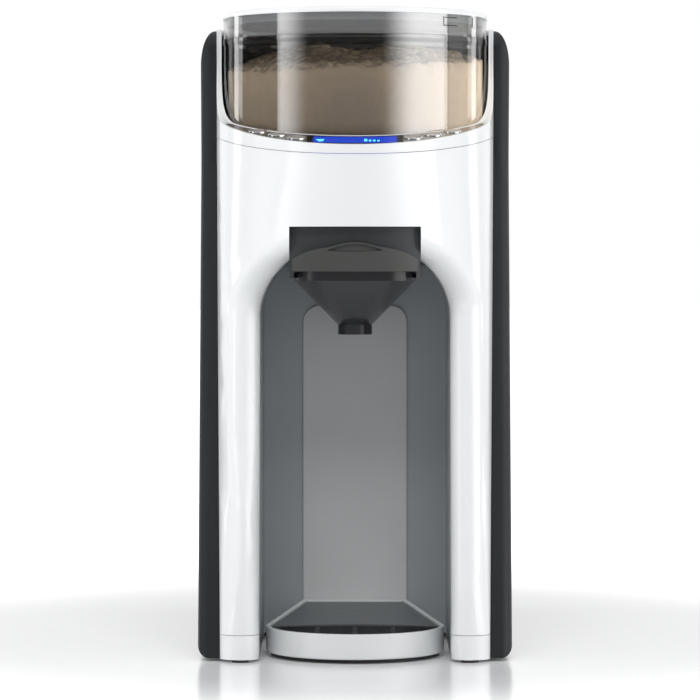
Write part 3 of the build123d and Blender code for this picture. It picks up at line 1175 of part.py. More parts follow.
def make_power_supply():
    """Mains power supply on the base plate."""
    z0 = PLATE_TOP_Z
    (x0, x1), (y0, y1) = SUPPLY_X, SUPPLY_Y
    top = z0 + SUPPLY_STAND + BOARD_THICK
    body = box(x0, x1, y0, y1, z0 + SUPPLY_STAND, top)
    for x in (x0 + 4, x1 - 4):
        for y in (y0 + 4, y1 - 4):
            body += rod(x, y, z0, z0 + SUPPLY_STAND + 0.5, 2.5)
    body += box(x0 + 14, x0 + 36, y0 + 12, y1 - 14, top, top + 20)
    body += rod(x1 - 14, y0 + 20, top, top + 26, 8)
    body += box(x1 - 22, x1 - 4, y1 - 16, y1 - 4, top, top + 14)
    return body + box(x0 + 4, x0 + 10, y0 + 6, y1 - 8, top, top + 10)


def make_power_rocker_frame():
    """Frame of the mains switch, clipped into the back."""
    x0, x1 = SWITCH_X - SWITCH_WIDE / 2, SWITCH_X + SWITCH_WIDE / 2
    z0, z1 = SWITCH_Z - SWITCH_TALL / 2, SWITCH_Z + SWITCH_TALL / 2
    body = box(x0, x1, BACK_Y - 14, BACK_Y, z0, z1)
    body += box(x0 - 1.5, x1 + 1.5, BACK_Y, BACK_Y + 1, z0 - 1.5, z1 + 1.5)
    body -= box(x0 + 1.5, x1 - 1.5, BACK_Y - 8, BACK_Y + 5, z0 + 1.5, z1 - 1.5)
    return body - rod_x(x0 - 1, x1 + 1, ROCKER_Y, SWITCH_Z, ROCKER_PIN_R)


def make_power_rocker():
    """Rocker of the mains switch on its own pivot pin."""
    half = SWITCH_WIDE / 2 - 1.5 - SLIDE_CLEAR
    tall = SWITCH_TALL / 2 - 1.5 - 0.9
    outline = Polyline((ROCKER_Y - 2.5, SWITCH_Z - tall + 1), (BACK_Y + 0.2, SWITCH_Z - tall),
                       (BACK_Y - 1.4, SWITCH_Z), (BACK_Y + 0.2, SWITCH_Z + tall),
                       (ROCKER_Y - 2.5, SWITCH_Z + tall - 1), close=True)
    body = Pos(SWITCH_X - half, 0, 0) * extrude(Plane.YZ * make_face(outline), 2 * half)
    pin = SWITCH_WIDE / 2 - 0.3
    return body + rod_x(SWITCH_X - pin, SWITCH_X + pin, ROCKER_Y, SWITCH_Z, ROCKER_PIN_R - SHAFT_CLEAR)


def make_power_inlet():
    """Mains appliance inlet with two contact pins."""
    body = box(INLET_X - 11, INLET_X + 11, BACK_Y - 18, BACK_Y, INLET_Z - 7, INLET_Z + 7)
    body += box(INLET_X - 13, INLET_X + 13, BACK_Y, BACK_Y + 1, INLET_Z - 9, INLET_Z + 9)
    socket = Pos(INLET_X, BACK_Y + 2, INLET_Z) * extrude(Plane.XZ * RectangleRounded(17, 9.5, 3.5), 14)
    body -= socket
    for x in (INLET_X - 4.3, INLET_X + 4.3):
        body += rod_y(x, BACK_Y - 13, BACK_Y - 3, INLET_Z, 1.2)
    return body


# ---------------------------------------------------------------- derived places
PLATE_TOP_Z = FOOT_HEIGHT + PLATE_THICK
SIDE_HALF_LOW = HIGH_PLAN.half + SIDE_BULGE
SIDE_TOP_Z = BEZEL_TOP_Z - SIDE_TOP_DROP
REAR_HALF = HIGH_PLAN.half - REAR_INSET
TANK_HALF = REAR_HALF - TANK_INSET
TANK_HINGE_Z = TANK_TOP_Z + TANK_HINGE_RISE
WELL_R = CUP_R + WELL_CLEAR
LID_PLUG_R = CUP_R - CUP_WALL - LID_PLUG_FIT
STIR_ARM_R = CUP_R - CUP_WALL - STIR_TIP_GAP
CUP_TOP_Z = BEZEL_TOP_Z - CUP_TOP_DROP
CUP_BAND_Z = CUP_TOP_Z - CUP_BAND_TALL
STIR_POST_TOP_Z = CUP_TOP_Z + STIR_POST_RISE
FOOT_STEM_R = 2.5
PANEL_BED_DEPTH = PANEL_THICK + CASE_WALL
BUTTON_FLANGE_LOW = -PANEL_THICK - 1.1
SWITCH_TOP = BUTTON_FLANGE_LOW - BUTTON_TRAVEL - 0.3
CUP_LOW_Z = WELL_FLOOR_Z + 0.3
WHEEL_LOW_Z = CUP_LOW_Z + CUP_FLOOR_THICK + 0.3
COUPLER_LOW_Z = WELL_FLOOR_Z + 0.2
COUPLER_HOLE_R = 7.6
LID_LOW_Z = CUP_TOP_Z + 0.3
BUSH_R = 7.0
GEAR_DISTANCE = GEAR_MODULE * (GEAR_TEETH + PINION_TEETH) / 2
MOTOR_SCREW_X = 8.0
TANK_LOW_Z = SHELF_Z + 0.3
VALVE_NECK_R = 8.9
SPIGOT_TOP_Z = TANK_LOW_Z + TANK_WALL + 1.6
HINGE_EAR_R = 3.5
HINGE_PIN_R = 1.5
ROCKER_Y = BACK_Y - 3.5
ROCKER_PIN_R = 1.3

MAKERS = {
    "front_shell": make_front_shell,
    "foot_caps": make_foot_caps,
    "top_bezel": make_top_bezel,
    "container_well": make_container_well,
    "rear_cover": make_rear_cover,
    "base_plate": make_base_plate,
    "rubber_feet": make_rubber_feet,
    "pan_screws": make_pan_screws,
    "bay_liner": make_bay_liner,
    "bay_back_panel": make_bay_back_panel,
    "dispenser_dock": make_dispenser_dock,
    "mixing_funnel": make_mixing_funnel,
    "funnel_cover": make_funnel_cover,
    "powder_container": make_powder_container,
    "powder_wheel": make_powder_wheel,
    "scraper_cover": make_scraper_cover,
    "stirrer": make_stirrer,
    "lid_skirt": make_lid_skirt,
    "lid_top": make_lid_top,
    "lid_seal": make_lid_seal,
    "powder_chute": make_powder_chute,
    "drive_gear": make_drive_gear,
    "drive_coupler": make_drive_coupler,
    "shaft_bushings": make_shaft_bushings,
    "drive_motor": make_drive_motor,
    "motor_pinion": make_motor_pinion,
    "chassis": make_chassis,
    "control_panel": make_control_panel,
    "display_lens": make_display_lens,
    "display_module": make_display_module,
    "control_board": make_control_board,
    "drip_tray": make_drip_tray,
    "tray_grille": make_tray_grille,
    "tray_deck": make_tray_deck,
    "water_tank": make_water_tank,
    "tank_lid": make_tank_lid,
    "tank_hinge_pins": make_tank_hinge_pins,
    "tank_float": make_tank_float,
    "valve_housing": make_valve_housing,
    "valve_plunger": make_valve_plunger,
    "valve_seal": make_valve_seal,
    "valve_spring": make_valve_spring,
    "inlet_spigot": make_inlet_spigot,
    "water_pump": make_water_pump,
    "water_heater": make_water_heater,
    "water_tubes": make_water_tubes,
    "water_nozzle": make_water_nozzle,
    "main_board": make_main_board,
    "power_supply": make_power_supply,
    "power_rocker_frame": make_power_rocker_frame,
    "power_rocker": make_power_rocker,
    "power_inlet": make_power_inlet,
}

parts = {}
for name, maker in MAKERS.items():
    parts[name] = maker()
right_panel = make_side_panel()
parts["side_panel_right"] = right_panel
parts["side_panel_left"] = mirror(right_panel, about=Plane.YZ)
for side, sign in (("left", -1), ("right", 1)):
    for label, (x, y) in zip(BUTTON_NAMES, BUTTON_SPOTS):
        parts[f"button_{side}_{label}"] = make_button(sign * x, y)

for name, shape in parts.items():
    export_step(shape, f"parts/{name}.step")
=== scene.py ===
"""Studio scene of a countertop formula maker: finishes, small details, powder, light and camera.

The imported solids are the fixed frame. Everything is in metres: +Z is up, the front faces -Y and the
counter is z = 0.
"""
from __future__ import annotations

import logging
import math
from dataclasses import dataclass, field
from enum import Enum
from typing import Callable, Iterable, Optional, Sequence, Union

import bmesh
import bpy
from bmesh.types import BMesh, BMVert
from bpy.types import ID, Material, Node, NodeSocket, NodeTree, Object, World
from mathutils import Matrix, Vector, noise


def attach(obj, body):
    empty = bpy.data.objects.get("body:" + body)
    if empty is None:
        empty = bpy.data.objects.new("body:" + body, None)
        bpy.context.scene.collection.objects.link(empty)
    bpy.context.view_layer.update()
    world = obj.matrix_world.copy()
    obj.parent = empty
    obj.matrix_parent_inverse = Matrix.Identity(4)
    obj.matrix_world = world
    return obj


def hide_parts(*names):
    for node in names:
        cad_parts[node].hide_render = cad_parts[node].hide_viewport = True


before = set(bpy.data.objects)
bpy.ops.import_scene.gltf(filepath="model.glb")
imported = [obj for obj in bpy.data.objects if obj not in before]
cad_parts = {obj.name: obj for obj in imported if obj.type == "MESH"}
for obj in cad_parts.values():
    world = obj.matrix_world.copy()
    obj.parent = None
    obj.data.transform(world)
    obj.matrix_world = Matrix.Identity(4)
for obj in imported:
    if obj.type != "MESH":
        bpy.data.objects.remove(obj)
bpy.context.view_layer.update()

LOG = logging.getLogger("formula_maker")
MM = 0.001
Colour = tuple[float, float, float]
Value = Union[float, "Wire"]
BLACK: Colour = (0.0, 0.0, 0.0)
FULL_WHITE: Colour = (1.0, 1.0, 1.0)


def grey_byte(red: float, green: float, blue: float) -> Colour:
    """Turn a display colour of 0 to 255 into the linear colour that shaders take.

    Args:
        red: display value of the red channel.
        green: the same for green.
        blue: the same for blue.

    Returns:
        The linear colour.
    """

    def linear(byte: float) -> float:
        """Undo the display curve for one channel."""
        part = byte / 255
        return part / 12.92 if part <= 0.04045 else ((part + 0.055) / 1.055) ** 2.4

    return linear(red), linear(green), linear(blue)


class Body(Enum):
    """The moving groups that new pieces ride on."""

    CASE = "case"
    CUP = "cup"
    LID = "lid"
    TANK = "tank"
    DOSING = "dosing"


class Grain(Enum):
    """Kinds of fine relief on a moulded or machined surface."""

    GLOSS = "gloss"
    SPARK = "spark"
    BRUSHED = "brushed"
    TURNED = "turned"


# ------------------------------------------------------------------ shader graph
class Wire:
    """A shader socket with arithmetic, so that masks read as plain expressions."""

    def __init__(self, graph: "Graph", socket: NodeSocket) -> None:
        """Keep the graph and the output socket."""
        self.graph = graph
        self.socket = socket

    def _math(self, operation: str, first: Value, second: Value) -> "Wire":
        """Add one Math node with two operands and return its result."""
        return self.graph.add("ShaderNodeMath", {"operation": operation}, {0: first, 1: second})

    def __add__(self, other: Value) -> "Wire":
        """Sum."""
        return self._math("ADD", self, other)

    def __radd__(self, other: Value) -> "Wire":
        """Sum with a number on the left."""
        return self._math("ADD", other, self)

    def __sub__(self, other: Value) -> "Wire":
        """Difference."""
        return self._math("SUBTRACT", self, other)

    def __rsub__(self, other: Value) -> "Wire":
        """Difference with a number on the left."""
        return self._math("SUBTRACT", other, self)

    def __mul__(self, other: Value) -> "Wire":
        """Product."""
        return self._math("MULTIPLY", self, other)

    def __rmul__(self, other: Value) -> "Wire":
        """Product with a number on the left."""
        return self._math("MULTIPLY", other, self)

    def __gt__(self, other: Value) -> "Wire":
        """One where this is larger."""
        return self._math("GREATER_THAN", self, other)

    def size(self) -> "Wire":
        """Return the value without its sign."""
        return self._math("ABSOLUTE", self, 0.0)

    def at_least(self, other: Value) -> "Wire":
        """Return the larger of the two."""
        return self._math("MAXIMUM", self, other)

    def ramp(self, low: float, high: float) -> "Wire":
        """Rise smoothly from 0 at low to 1 at high."""
        return self.graph.add("ShaderNodeMapRange", {"interpolation_type": "SMOOTHSTEP"},
                              {"Value": self, "From Min": low, "From Max": high})


class Graph:
    """The nodes of one material or world."""

    def __init__(self, owner: Union[Material, World]) -> None:
        """Start with an empty tree on the owner.

        Args:
            owner: the material or world.
        """
        owner.use_nodes = True
        self.tree = owner.node_tree
        self.tree.nodes.clear()
        self._place: Optional[Node] = None

    def node(self, kind: str, settings: Optional[dict] = None,
             inputs: Optional[dict] = None) -> Node:
        """Add a node.

        Args:
            kind: the node's type.
            settings: its properties; "stops" holds a colour ramp's positions and colours.
            inputs: values or wires by socket name or number.

        Returns:
            The new node.
        """
        new = self.tree.nodes.new(kind)
        for key, value in (settings or {}).items():
            if key == "stops":
                elements = new.color_ramp.elements
                while len(elements) < len(value):
                    elements.new(0.5)
                for element, (position, colour) in zip(elements, value):
                    element.position = position
                    element.color = (*colour, 1.0)
            else:
                setattr(new, key, value)
        for key, value in (inputs or {}).items():
            socket = new.inputs[key]
            if isinstance(value, Wire):
                self.tree.links.new(value.socket, socket)
            elif isinstance(value, tuple) and len(value) == 3 and socket.type == "RGBA":
                socket.default_value = (*value, 1.0)
            else:
                socket.default_value = value
        return new

    def add(self, kind: str, settings: Optional[dict] = None, inputs: Optional[dict] = None,
            output: Union[int, str] = 0) -> Wire:
        """Add a node as node() does, and return one of its outputs by name or number."""
        return Wire(self, self.node(kind, settings, inputs).outputs[output])

    def axes(self) -> tuple[Wire, Wire, Wire]:
        """Return the object coordinates x, y and z in metres."""
        split = self.node("ShaderNodeSeparateXYZ", None, {0: self.place()})
        return tuple(Wire(self, split.outputs[i]) for i in range(3))

    def off_axis(self) -> Wire:
        """Return the squared distance from the powder container's axis.

        Returns:
            The squared distance.
        """
        x, y, _ = self.axes()
        off = y - CUP_AXIS_Y
        return x * x + off * off

    def place(self) -> Wire:
        """Return the object coordinates as a vector.

        Returns:
            The coordinates.
        """
        if self._place is None:
            self._place = self.node("ShaderNodeTexCoord")
        return Wire(self, self._place.outputs["Object"])

    def stretched(self, scale: Sequence[float]) -> Wire:
        """Return the object coordinates, stretched along each axis."""
        return self.add("ShaderNodeMapping", None, {"Vector": self.place(), "Scale": tuple(scale)})

    def noise(self, scale: float, detail: float = 2.0, rough: float = 0.5,
              vector: Optional[Wire] = None) -> Wire:
        """Return a noise near 0.5, its scale in cycles per metre, of detail layers with weight rough."""
        inputs = {"Vector": vector or self.place(), "Scale": scale, "Detail": detail, "Roughness": rough}
        return self.add("ShaderNodeTexNoise", None, inputs)

    def mix(self, factor: Value, first: Union[Colour, Wire], second: Union[Colour, Wire]) -> Wire:
        """Blend two colours: a factor of 0 gives the first and 1 the second."""
        return self.add("ShaderNodeMix", {"data_type": "RGBA"}, {0: factor, 6: first, 7: second}, 2)

    def bump(self, height: Wire, strength: float, distance: float) -> Wire:
        """Return a normal that follows a height, where a height of 1 is distance in metres."""
        inputs = {"Height": height, "Strength": strength, "Distance": distance}
        return self.add("ShaderNodeBump", None, inputs)

    def principled(self, inputs: dict) -> Node:
        """Add the shader that every surface has."""
        return self.node("ShaderNodeBsdfPrincipled", None, inputs)

    def surface(self, shader: Node) -> None:
        """Join a shader to the material's output."""
        out = self.node("ShaderNodeOutputMaterial")
        self.tree.links.new(shader.outputs[0], out.inputs["Surface"])


# ------------------------------------------------------------------ finishes
# Cycles per metre of the patterns that all finishes share, and how each is stretched.
DRIFT_SCALE = 14.0
SCUFF_SCALE = 120.0
SWELL_SCALE = 55.0
FLOW_SCALE = 9.0
SPARK_FINER = 2.7
BRUSH_LENGTHWISE = 14.0
TURN_LENGTHWISE = 12.0
MIDDLE = (0.3, 0.7)  # the part of a noise's range that a blend runs over
COAT_ROUGHNESS = 0.04
CLEAR_COAT_ROUGHNESS = 0.03
CUP_AXIS_Y = -0.055  # the powder container's upright axis, at x = 0


@dataclass(frozen=True)
class Finish:
    """A solid surface with a tone that drifts, a fine relief and a gloss that varies.

    Attributes:
        name: the material's name.
        colour: linear base colour.
        roughness: mean roughness.
        metallic: 1 for bare metal.
        coat: weight of the clear top coat.
        index: refractive index of the surface.
        grain: kind of fine relief.
        grain_scale: relief cycles per metre.
        grain_height: relief height in metres.
        drift: share by which the tone varies over the surface.
        scuff: share by which the roughness varies.
    """

    name: str
    colour: Colour
    roughness: float = 0.4
    metallic: float = 0.0
    coat: float = 0.0
    index: float = 1.46
    grain: Grain = Grain.GLOSS
    grain_scale: float = 900.0
    grain_height: float = 0.00002
    drift: float = 0.04
    scuff: float = 0.12

    def tone(self, graph: Graph) -> Wire:
        """Return the base colour with its slow drift.

        Args:
            graph: the material's nodes.

        Returns:
            The colour.
        """
        dark = tuple(channel * (1 - self.drift) for channel in self.colour)
        light = tuple(min(1.0, channel * (1 + self.drift)) for channel in self.colour)
        return graph.mix(graph.noise(DRIFT_SCALE, 3.0).ramp(*MIDDLE), dark, light)

    def relief(self, graph: Graph) -> Wire:
        """Return the normal of the fine relief.

        Args:
            graph: the material's nodes.

        Returns:
            The normal.
        """
        if self.grain is Grain.SPARK:
            coarse = graph.noise(self.grain_scale, 2.0, 0.6)
            fine = graph.noise(self.grain_scale * SPARK_FINER, 1.0)
            return graph.bump(coarse * 0.7 + fine * 0.3, 0.6, self.grain_height)
        if self.grain is Grain.BRUSHED:
            scale = (self.grain_scale, self.grain_scale, BRUSH_LENGTHWISE)
            return graph.bump(graph.noise(1.0, 3.0, 0.6, graph.stretched(scale)), 0.5, self.grain_height)
        if self.grain is Grain.TURNED:
            scale = (TURN_LENGTHWISE, TURN_LENGTHWISE, self.grain_scale)
            return graph.bump(graph.noise(1.0, 2.0, 0.5, graph.stretched(scale)), 0.5, self.grain_height)
        swell = graph.noise(SWELL_SCALE, 2.0) * 0.8 + graph.noise(self.grain_scale, 1.0) * 0.2
        return graph.bump(swell, 0.35, self.grain_height)

    def gloss(self, graph: Graph) -> Wire:
        """Return the roughness with its scuffs."""
        worn = graph.noise(SCUFF_SCALE, 4.0, 0.65)
        return worn * (2 * self.scuff * self.roughness) + self.roughness * (1 - self.scuff)

    def inputs(self, graph: Graph) -> dict[str, object]:
        """Return the shader's inputs.

        Args:
            graph: the material's nodes.

        Returns:
            Values and wires by the socket's name.
        """
        return {
            "Base Color": self.tone(graph), "Roughness": self.gloss(graph), "Metallic": self.metallic,
            "IOR": self.index, "Coat Weight": self.coat, "Coat Roughness": COAT_ROUGHNESS,
            "Normal": self.relief(graph),
        }

    def make(self) -> Material:
        """Build the material.

        Returns:
            The material.
        """
        material = bpy.data.materials.new(self.name)
        graph = Graph(material)
        graph.surface(graph.principled(self.inputs(graph)))
        return material


@dataclass(frozen=True)
class MouldedFinish(Finish):
    """A plastic with the fine sparkle of a textured mould."""

    grain: Grain = Grain.SPARK


@dataclass(frozen=True)
class ClearFinish(Finish):
    """A see-through moulding: smoke or clear, with a gloss skin and faint flow marks.

    Attributes:
        density: share of light that one surface holds back.
        flow: share by which the density varies.
        skin: refractive index of the gloss skin.
    """

    density: float = 0.3
    flow: float = 0.04
    skin: float = 1.8

    def inputs(self, graph: Graph) -> dict[str, object]:
        """Return the shader's inputs, with the skin and what the surface holds back.

        Args:
            graph: the material's nodes.

        Returns:
            Values and wires by the socket's name.
        """
        streaks = graph.noise(FLOW_SCALE, 2.0, 0.5, graph.stretched((1.0, 1.0, 3.0))).ramp(*MIDDLE)
        return super().inputs(graph) | {
            "Coat Roughness": CLEAR_COAT_ROUGHNESS, "Coat IOR": self.skin,
            "Alpha": streaks * self.flow + (self.density - self.flow / 2),
        }


@dataclass(frozen=True)
class SkirtFinish(ClearFinish):
    """A clear ring whose plug, below the container's edge, is near black: painted shade that stands in for
    the shaded gap under the lid.

    Attributes:
        plug: colour of the plug, painted shade.
        edge_z: height of the container's edge.
    """

    # painted shade: the plug is near black to stand in for the shaded gap under the lid, inside the container
    plug: Colour = (0.009, 0.009, 0.009)
    edge_z: float = 0.3297

    def tone(self, graph: Graph) -> Wire:
        """Return the plug's painted shade below the edge and the ring's colour above it."""
        _, _, z = graph.axes()
        return graph.mix(z > self.edge_z, self.plug, super().tone(graph))


@dataclass(frozen=True)
class PowderFinish(Finish):
    """Loose milk powder: smooth where it is pressed to the wall, crumbly on top, with painted shade in the
    loose powder's hollows and a painted highlight on its clumps.

    Attributes:
        wall_r: radius beyond which the powder lies against the wall.
        wall_soft: how far inside that radius the change begins.
        clump_scale: cycles per metre of the clumps.
        crumb_scale: cycles per metre of the crumbs.
        shade: shares of the colour in the loose powder's hollows and on its clumps: painted shade and painted
            highlight that follow the clump relief.
        relief_height: height of the clumps, in metres.
    """

    wall_r: float = 0.0690
    wall_soft: float = 0.0008
    clump_scale: float = 260.0
    crumb_scale: float = 1300.0
    shade: tuple[float, float] = (0.66, 1.20)
    relief_height: float = 0.0012

    def inputs(self, graph: Graph) -> dict[str, object]:
        """Return the shader's inputs, pressed at the wall and loose inside.

        Args:
            graph: the material's nodes.

        Returns:
            Values and wires by the socket's name.
        """
        pressed = graph.off_axis().ramp((self.wall_r - self.wall_soft) ** 2, self.wall_r ** 2)
        clump = graph.noise(self.clump_scale, 6.0, 0.62).ramp(0.38, 0.62)
        crumb = graph.noise(self.crumb_scale, 4.0, 0.7)
        # painted shade in the hollows and painted highlight on the clumps of the loose powder, following the
        # same clump noise as the relief
        painted_hollow_shade, painted_clump_highlight, dull = (tuple(channel * share for channel in self.colour)
                                for share in (*self.shade, 0.94))
        loose = graph.mix(clump, painted_hollow_shade, painted_clump_highlight)
        smooth = graph.mix(clump, dull, self.colour)
        height = (crumb * 0.4 + clump * 0.6) * (1 - pressed * 0.9)
        return {
            "Base Color": graph.mix(pressed, loose, smooth), "Roughness": self.roughness,
            "Normal": graph.bump(height, 0.9, self.relief_height),
        }


@dataclass(frozen=True)
class ScreenFinish(Finish):
    """Black gloss window with a lit field behind it.

    Attributes:
        glow: colour of the lit field.
        half_width: half width of the lit field.
        low_y: front edge of the lit field at its middle.
        high_y: rear edge of the lit field at its middle.
        sag: how far the field's edges bow back at its ends.
        edge: half the width over which the field's edges fade.
    """

    glow: Colour = (0.010, 0.056, 0.60)
    half_width: float = 0.0218
    low_y: float = -0.1522
    high_y: float = -0.1330
    sag: float = 3.6
    edge: float = 0.0006

    def inputs(self, graph: Graph) -> dict[str, object]:
        """Return the shader's inputs, with the lit field.

        Args:
            graph: the material's nodes.

        Returns:
            Values and wires by the socket's name.
        """
        x, y, _ = graph.axes()
        bowed = y - x * x * self.sag
        aside, short, past = (value.ramp(limit - self.edge, limit + self.edge) for value, limit in (
            (x.size(), self.half_width), (bowed, self.low_y), (bowed, self.high_y)))
        uneven = graph.noise(60.0, 2.0) * 0.5 + 0.75
        glow = graph.mix((1 - aside) * short * (1 - past) * uneven, BLACK, self.glow)
        return {
            "Base Color": self.colour, "Roughness": self.roughness, "IOR": self.index,
            "Emission Color": glow, "Emission Strength": 1.0, "Normal": self.relief(graph),
        }


@dataclass(frozen=True)
class WellFinish(Finish):
    """A round well whose rim and outer side match the white casing; the bore is painted shade, dark to stand
    in for the shadowed gap around the powder container.

    Attributes:
        rim: colour outside the bore.
        bore_r: radius of the bore.
    """

    rim: Colour = FULL_WHITE
    bore_r: float = 0.07285

    def tone(self, graph: Graph) -> Wire:
        """Return painted shade inside the bore and the rim's colour outside."""
        return graph.mix(graph.off_axis() > self.bore_r ** 2, super().tone(graph), self.rim)


@dataclass(frozen=True)
class BoardFinish(Finish):
    """Circuit board lacquer with a faint pattern of copper runs."""

    def tone(self, graph: Graph) -> Wire:
        """Return the lacquer's colour, lighter over the copper runs.

        Args:
            graph: the material's nodes.

        Returns:
            The colour.
        """
        runs = graph.add("ShaderNodeTexBrick", {"offset": 0.5}, {
            "Vector": graph.place(), "Scale": 260.0, "Mortar Size": 0.03, "Color1": BLACK,
            "Color2": BLACK, "Mortar": FULL_WHITE}, "Fac")
        light = tuple(min(1.0, channel * 1.7 + 0.01) for channel in self.colour)
        return graph.mix(runs * 0.6, super().tone(graph), light)


@dataclass(frozen=True)
class LampFinish(Finish):
    """A small lit mark."""

    power: float = 1.0

    def inputs(self, graph: Graph) -> dict[str, object]:
        """Return the shader's inputs: black, with its own light.

        Args:
            graph: the material's nodes.

        Returns:
            Values and wires by the socket's name.
        """
        uneven = graph.noise(200.0, 1.0) * 0.2 + 0.9
        return {
            "Base Color": BLACK, "Roughness": self.roughness,
            "Emission Color": graph.mix(uneven, BLACK, self.colour), "Emission Strength": self.power,
        }


WHITE = grey_byte(250, 252, 253)
FINISHES: dict[str, Finish] = {finish.name: finish for finish in (
    Finish("white_gloss", WHITE, 0.22, coat=0.35, index=1.45, drift=0.008, grain_height=0.00001),
    Finish("white_tray_gloss", grey_byte(232, 234, 235), 0.25, coat=0.3, drift=0.008, grain_height=0.00001),
    Finish("white_lid_gloss", WHITE, 0.26, coat=0.2, drift=0.008, grain_height=0.00001),
    MouldedFinish("charcoal_satin", grey_byte(42, 43, 45), 0.45, index=1.35, grain_scale=1500.0,
                  grain_height=0.00006, drift=0.05),
    MouldedFinish("charcoal_rear", grey_byte(42, 43, 45), 0.5, grain_scale=1200.0, grain_height=0.00008,
                  drift=0.06),
    MouldedFinish("base_black", grey_byte(30, 30, 31), 0.6, grain_height=0.00008),
    MouldedFinish("foot_rubber", grey_byte(62, 62, 62), 0.75, grain_height=0.0001),
    MouldedFinish("liner_grey", grey_byte(176, 181, 185), 0.42, grain_height=0.00004),
    MouldedFinish("panel_grey", grey_byte(216, 217, 217), 0.34, grain_height=0.00003),
    MouldedFinish("dock_dark", grey_byte(52, 54, 55), 0.40, grain_height=0.00004),
    MouldedFinish("handle_grey", grey_byte(74, 75, 73), 0.36, grain_height=0.00003),
    Finish("wheel_white", grey_byte(225, 225, 222), 0.35),
    Finish("stirrer_grey", grey_byte(165, 165, 166), 0.35),
    MouldedFinish("gear_white", grey_byte(228, 226, 218), 0.4, grain_height=0.00004),
    Finish("gear_brass", (0.72, 0.52, 0.22), 0.28, metallic=1.0, grain=Grain.TURNED, grain_scale=2500.0),
    MouldedFinish("coupler_grey", grey_byte(90, 91, 94), 0.4),
    Finish("bush_bronze", (0.60, 0.38, 0.16), 0.35, metallic=1.0, grain=Grain.TURNED, grain_scale=2500.0),
    Finish("motor_steel", (0.62, 0.62, 0.63), 0.3, metallic=1.0, grain=Grain.BRUSHED, grain_scale=900.0),
    Finish("bright_steel", (0.66, 0.66, 0.67), 0.24, metallic=1.0, grain=Grain.TURNED, grain_scale=2500.0),
    Finish("screw_steel", (0.52, 0.52, 0.53), 0.32, metallic=1.0, grain=Grain.TURNED, grain_scale=2500.0),
    MouldedFinish("frame_plastic", grey_byte(150, 152, 154), 0.5),
    MouldedFinish("panel_silver", (0.26, 0.26, 0.27), 0.26, metallic=0.85, coat=0.5, grain_scale=2600.0,
                  grain_height=0.00001),
    Finish("key_silver", (0.80, 0.81, 0.83), 0.16, metallic=0.9, coat=0.6, grain_height=0.00001),
    MouldedFinish("grille_black", grey_byte(13, 14, 15), 0.42, index=1.25, grain_height=0.00005),
    MouldedFinish("deck_grey", grey_byte(98, 102, 105), 0.4, grain_height=0.00004),
    MouldedFinish("float_white", grey_byte(228, 228, 222), 0.6),
    Finish("valve_grey", grey_byte(170, 172, 174), 0.4),
    MouldedFinish("pump_black", grey_byte(36, 36, 38), 0.5),
    Finish("seal_silicone", grey_byte(220, 220, 216), 0.55),
    Finish("seal_dark", grey_byte(44, 44, 45), 0.55),
    Finish("tube_silicone", grey_byte(215, 216, 212), 0.35),
    MouldedFinish("switch_black", grey_byte(26, 26, 27), 0.4),
    Finish("mark_grey", grey_byte(140, 142, 145), 0.4),
    Finish("mark_dark", grey_byte(40, 40, 42), 0.7, index=1.1),
    # painted shade: the well's bore is dark to stand in for the shadowed gap around the powder container; its
    # rim keeps the casing's white
    WellFinish("well_dark", grey_byte(33, 33, 34), 0.5, grain=Grain.SPARK, rim=WHITE),
    ClearFinish("cup_smoke", grey_byte(30, 27, 24), 0.05, coat=1.0, index=2.2, drift=0.02,
                grain_height=0.000001, density=0.30, skin=3.2),
    SkirtFinish("skirt_clear", grey_byte(150, 151, 152), 0.08, coat=1.0, index=1.9, drift=0.02,
                grain_height=0.000001, density=0.50, skin=3.0),
    ClearFinish("funnel_smoke", grey_byte(56, 56, 58), 0.24, coat=0.3, index=1.4, drift=0.06,
                grain_height=0.00001, density=0.94, skin=1.4),
    ClearFinish("tank_smoke", grey_byte(34, 36, 39), 0.07, coat=0.8, index=1.5, drift=0.02,
                grain_height=0.00001, density=0.42, skin=1.6),
    PowderFinish("milk_powder", (0.80, 0.65, 0.48), 0.95),
    ScreenFinish("screen_gloss", (0.004, 0.004, 0.005), 0.10, index=1.06),
    LampFinish("screen_lit", (0.02, 0.06, 0.75), 0.4, power=1.0),
    LampFinish("mark_cyan", (0.10, 0.72, 1.0), 0.4, power=1.8),
    BoardFinish("board_green", (0.008, 0.07, 0.03), 0.35, index=1.5),
)}


class FinishShop:
    """Hands out each material once."""

    def __init__(self) -> None:
        """Start with an empty shelf."""
        self._made: dict[str, Material] = {}

    def get(self, name: str) -> Material:
        """Return a finish's material, made on first use.

        Args:
            name: the finish's name.

        Returns:
            The material.
        """
        if name not in self._made:
            self._made[name] = FINISHES[name].make()
        return self._made[name]


# ------------------------------------------------------------------ mesh helpers
def show(name: str, data: ID) -> Object:
    """Add an object to the scene and return it.

    Args:
        name: the object's name.
        data: its mesh, lamp or camera.

    Returns:
        The object.
    """
    thing = bpy.data.objects.new(name, data)
    bpy.context.scene.collection.objects.link(thing)
    return thing


def mesh_object(name: str, build: Callable[[BMesh], None], material: Material,
                smooth: bool = True) -> Object:
    """Make an object from a builder that fills a bmesh.

    Args:
        name: the object's name.
        build: fills the mesh, in metres.
        material: the surface.
        smooth: whether faces are shaded smooth.

    Returns:
        The object, at the origin.
    """
    grid = bmesh.new()
    build(grid)
    bmesh.ops.remove_doubles(grid, verts=grid.verts, dist=1e-7)
    bmesh.ops.recalc_face_normals(grid, faces=grid.faces)
    for face in grid.faces:
        face.smooth = smooth
    mesh = bpy.data.meshes.new(name)
    grid.to_mesh(mesh)
    grid.free()
    mesh.materials.append(material)
    return show(name, mesh)


def add_bands(grid: BMesh, rings: Sequence[Sequence[BMVert]]) -> None:
    """Add the faces between each closed ring of vertices and the next.

    Args:
        grid: the mesh to add to.
        rings: equally long rings; a ring may repeat one vertex.
    """
    for near, far in zip(rings, rings[1:]):
        for i in range(len(near)):
            j = (i + 1) % len(near)
            grid.faces.new(list(dict.fromkeys((near[i], near[j], far[j], far[i]))))


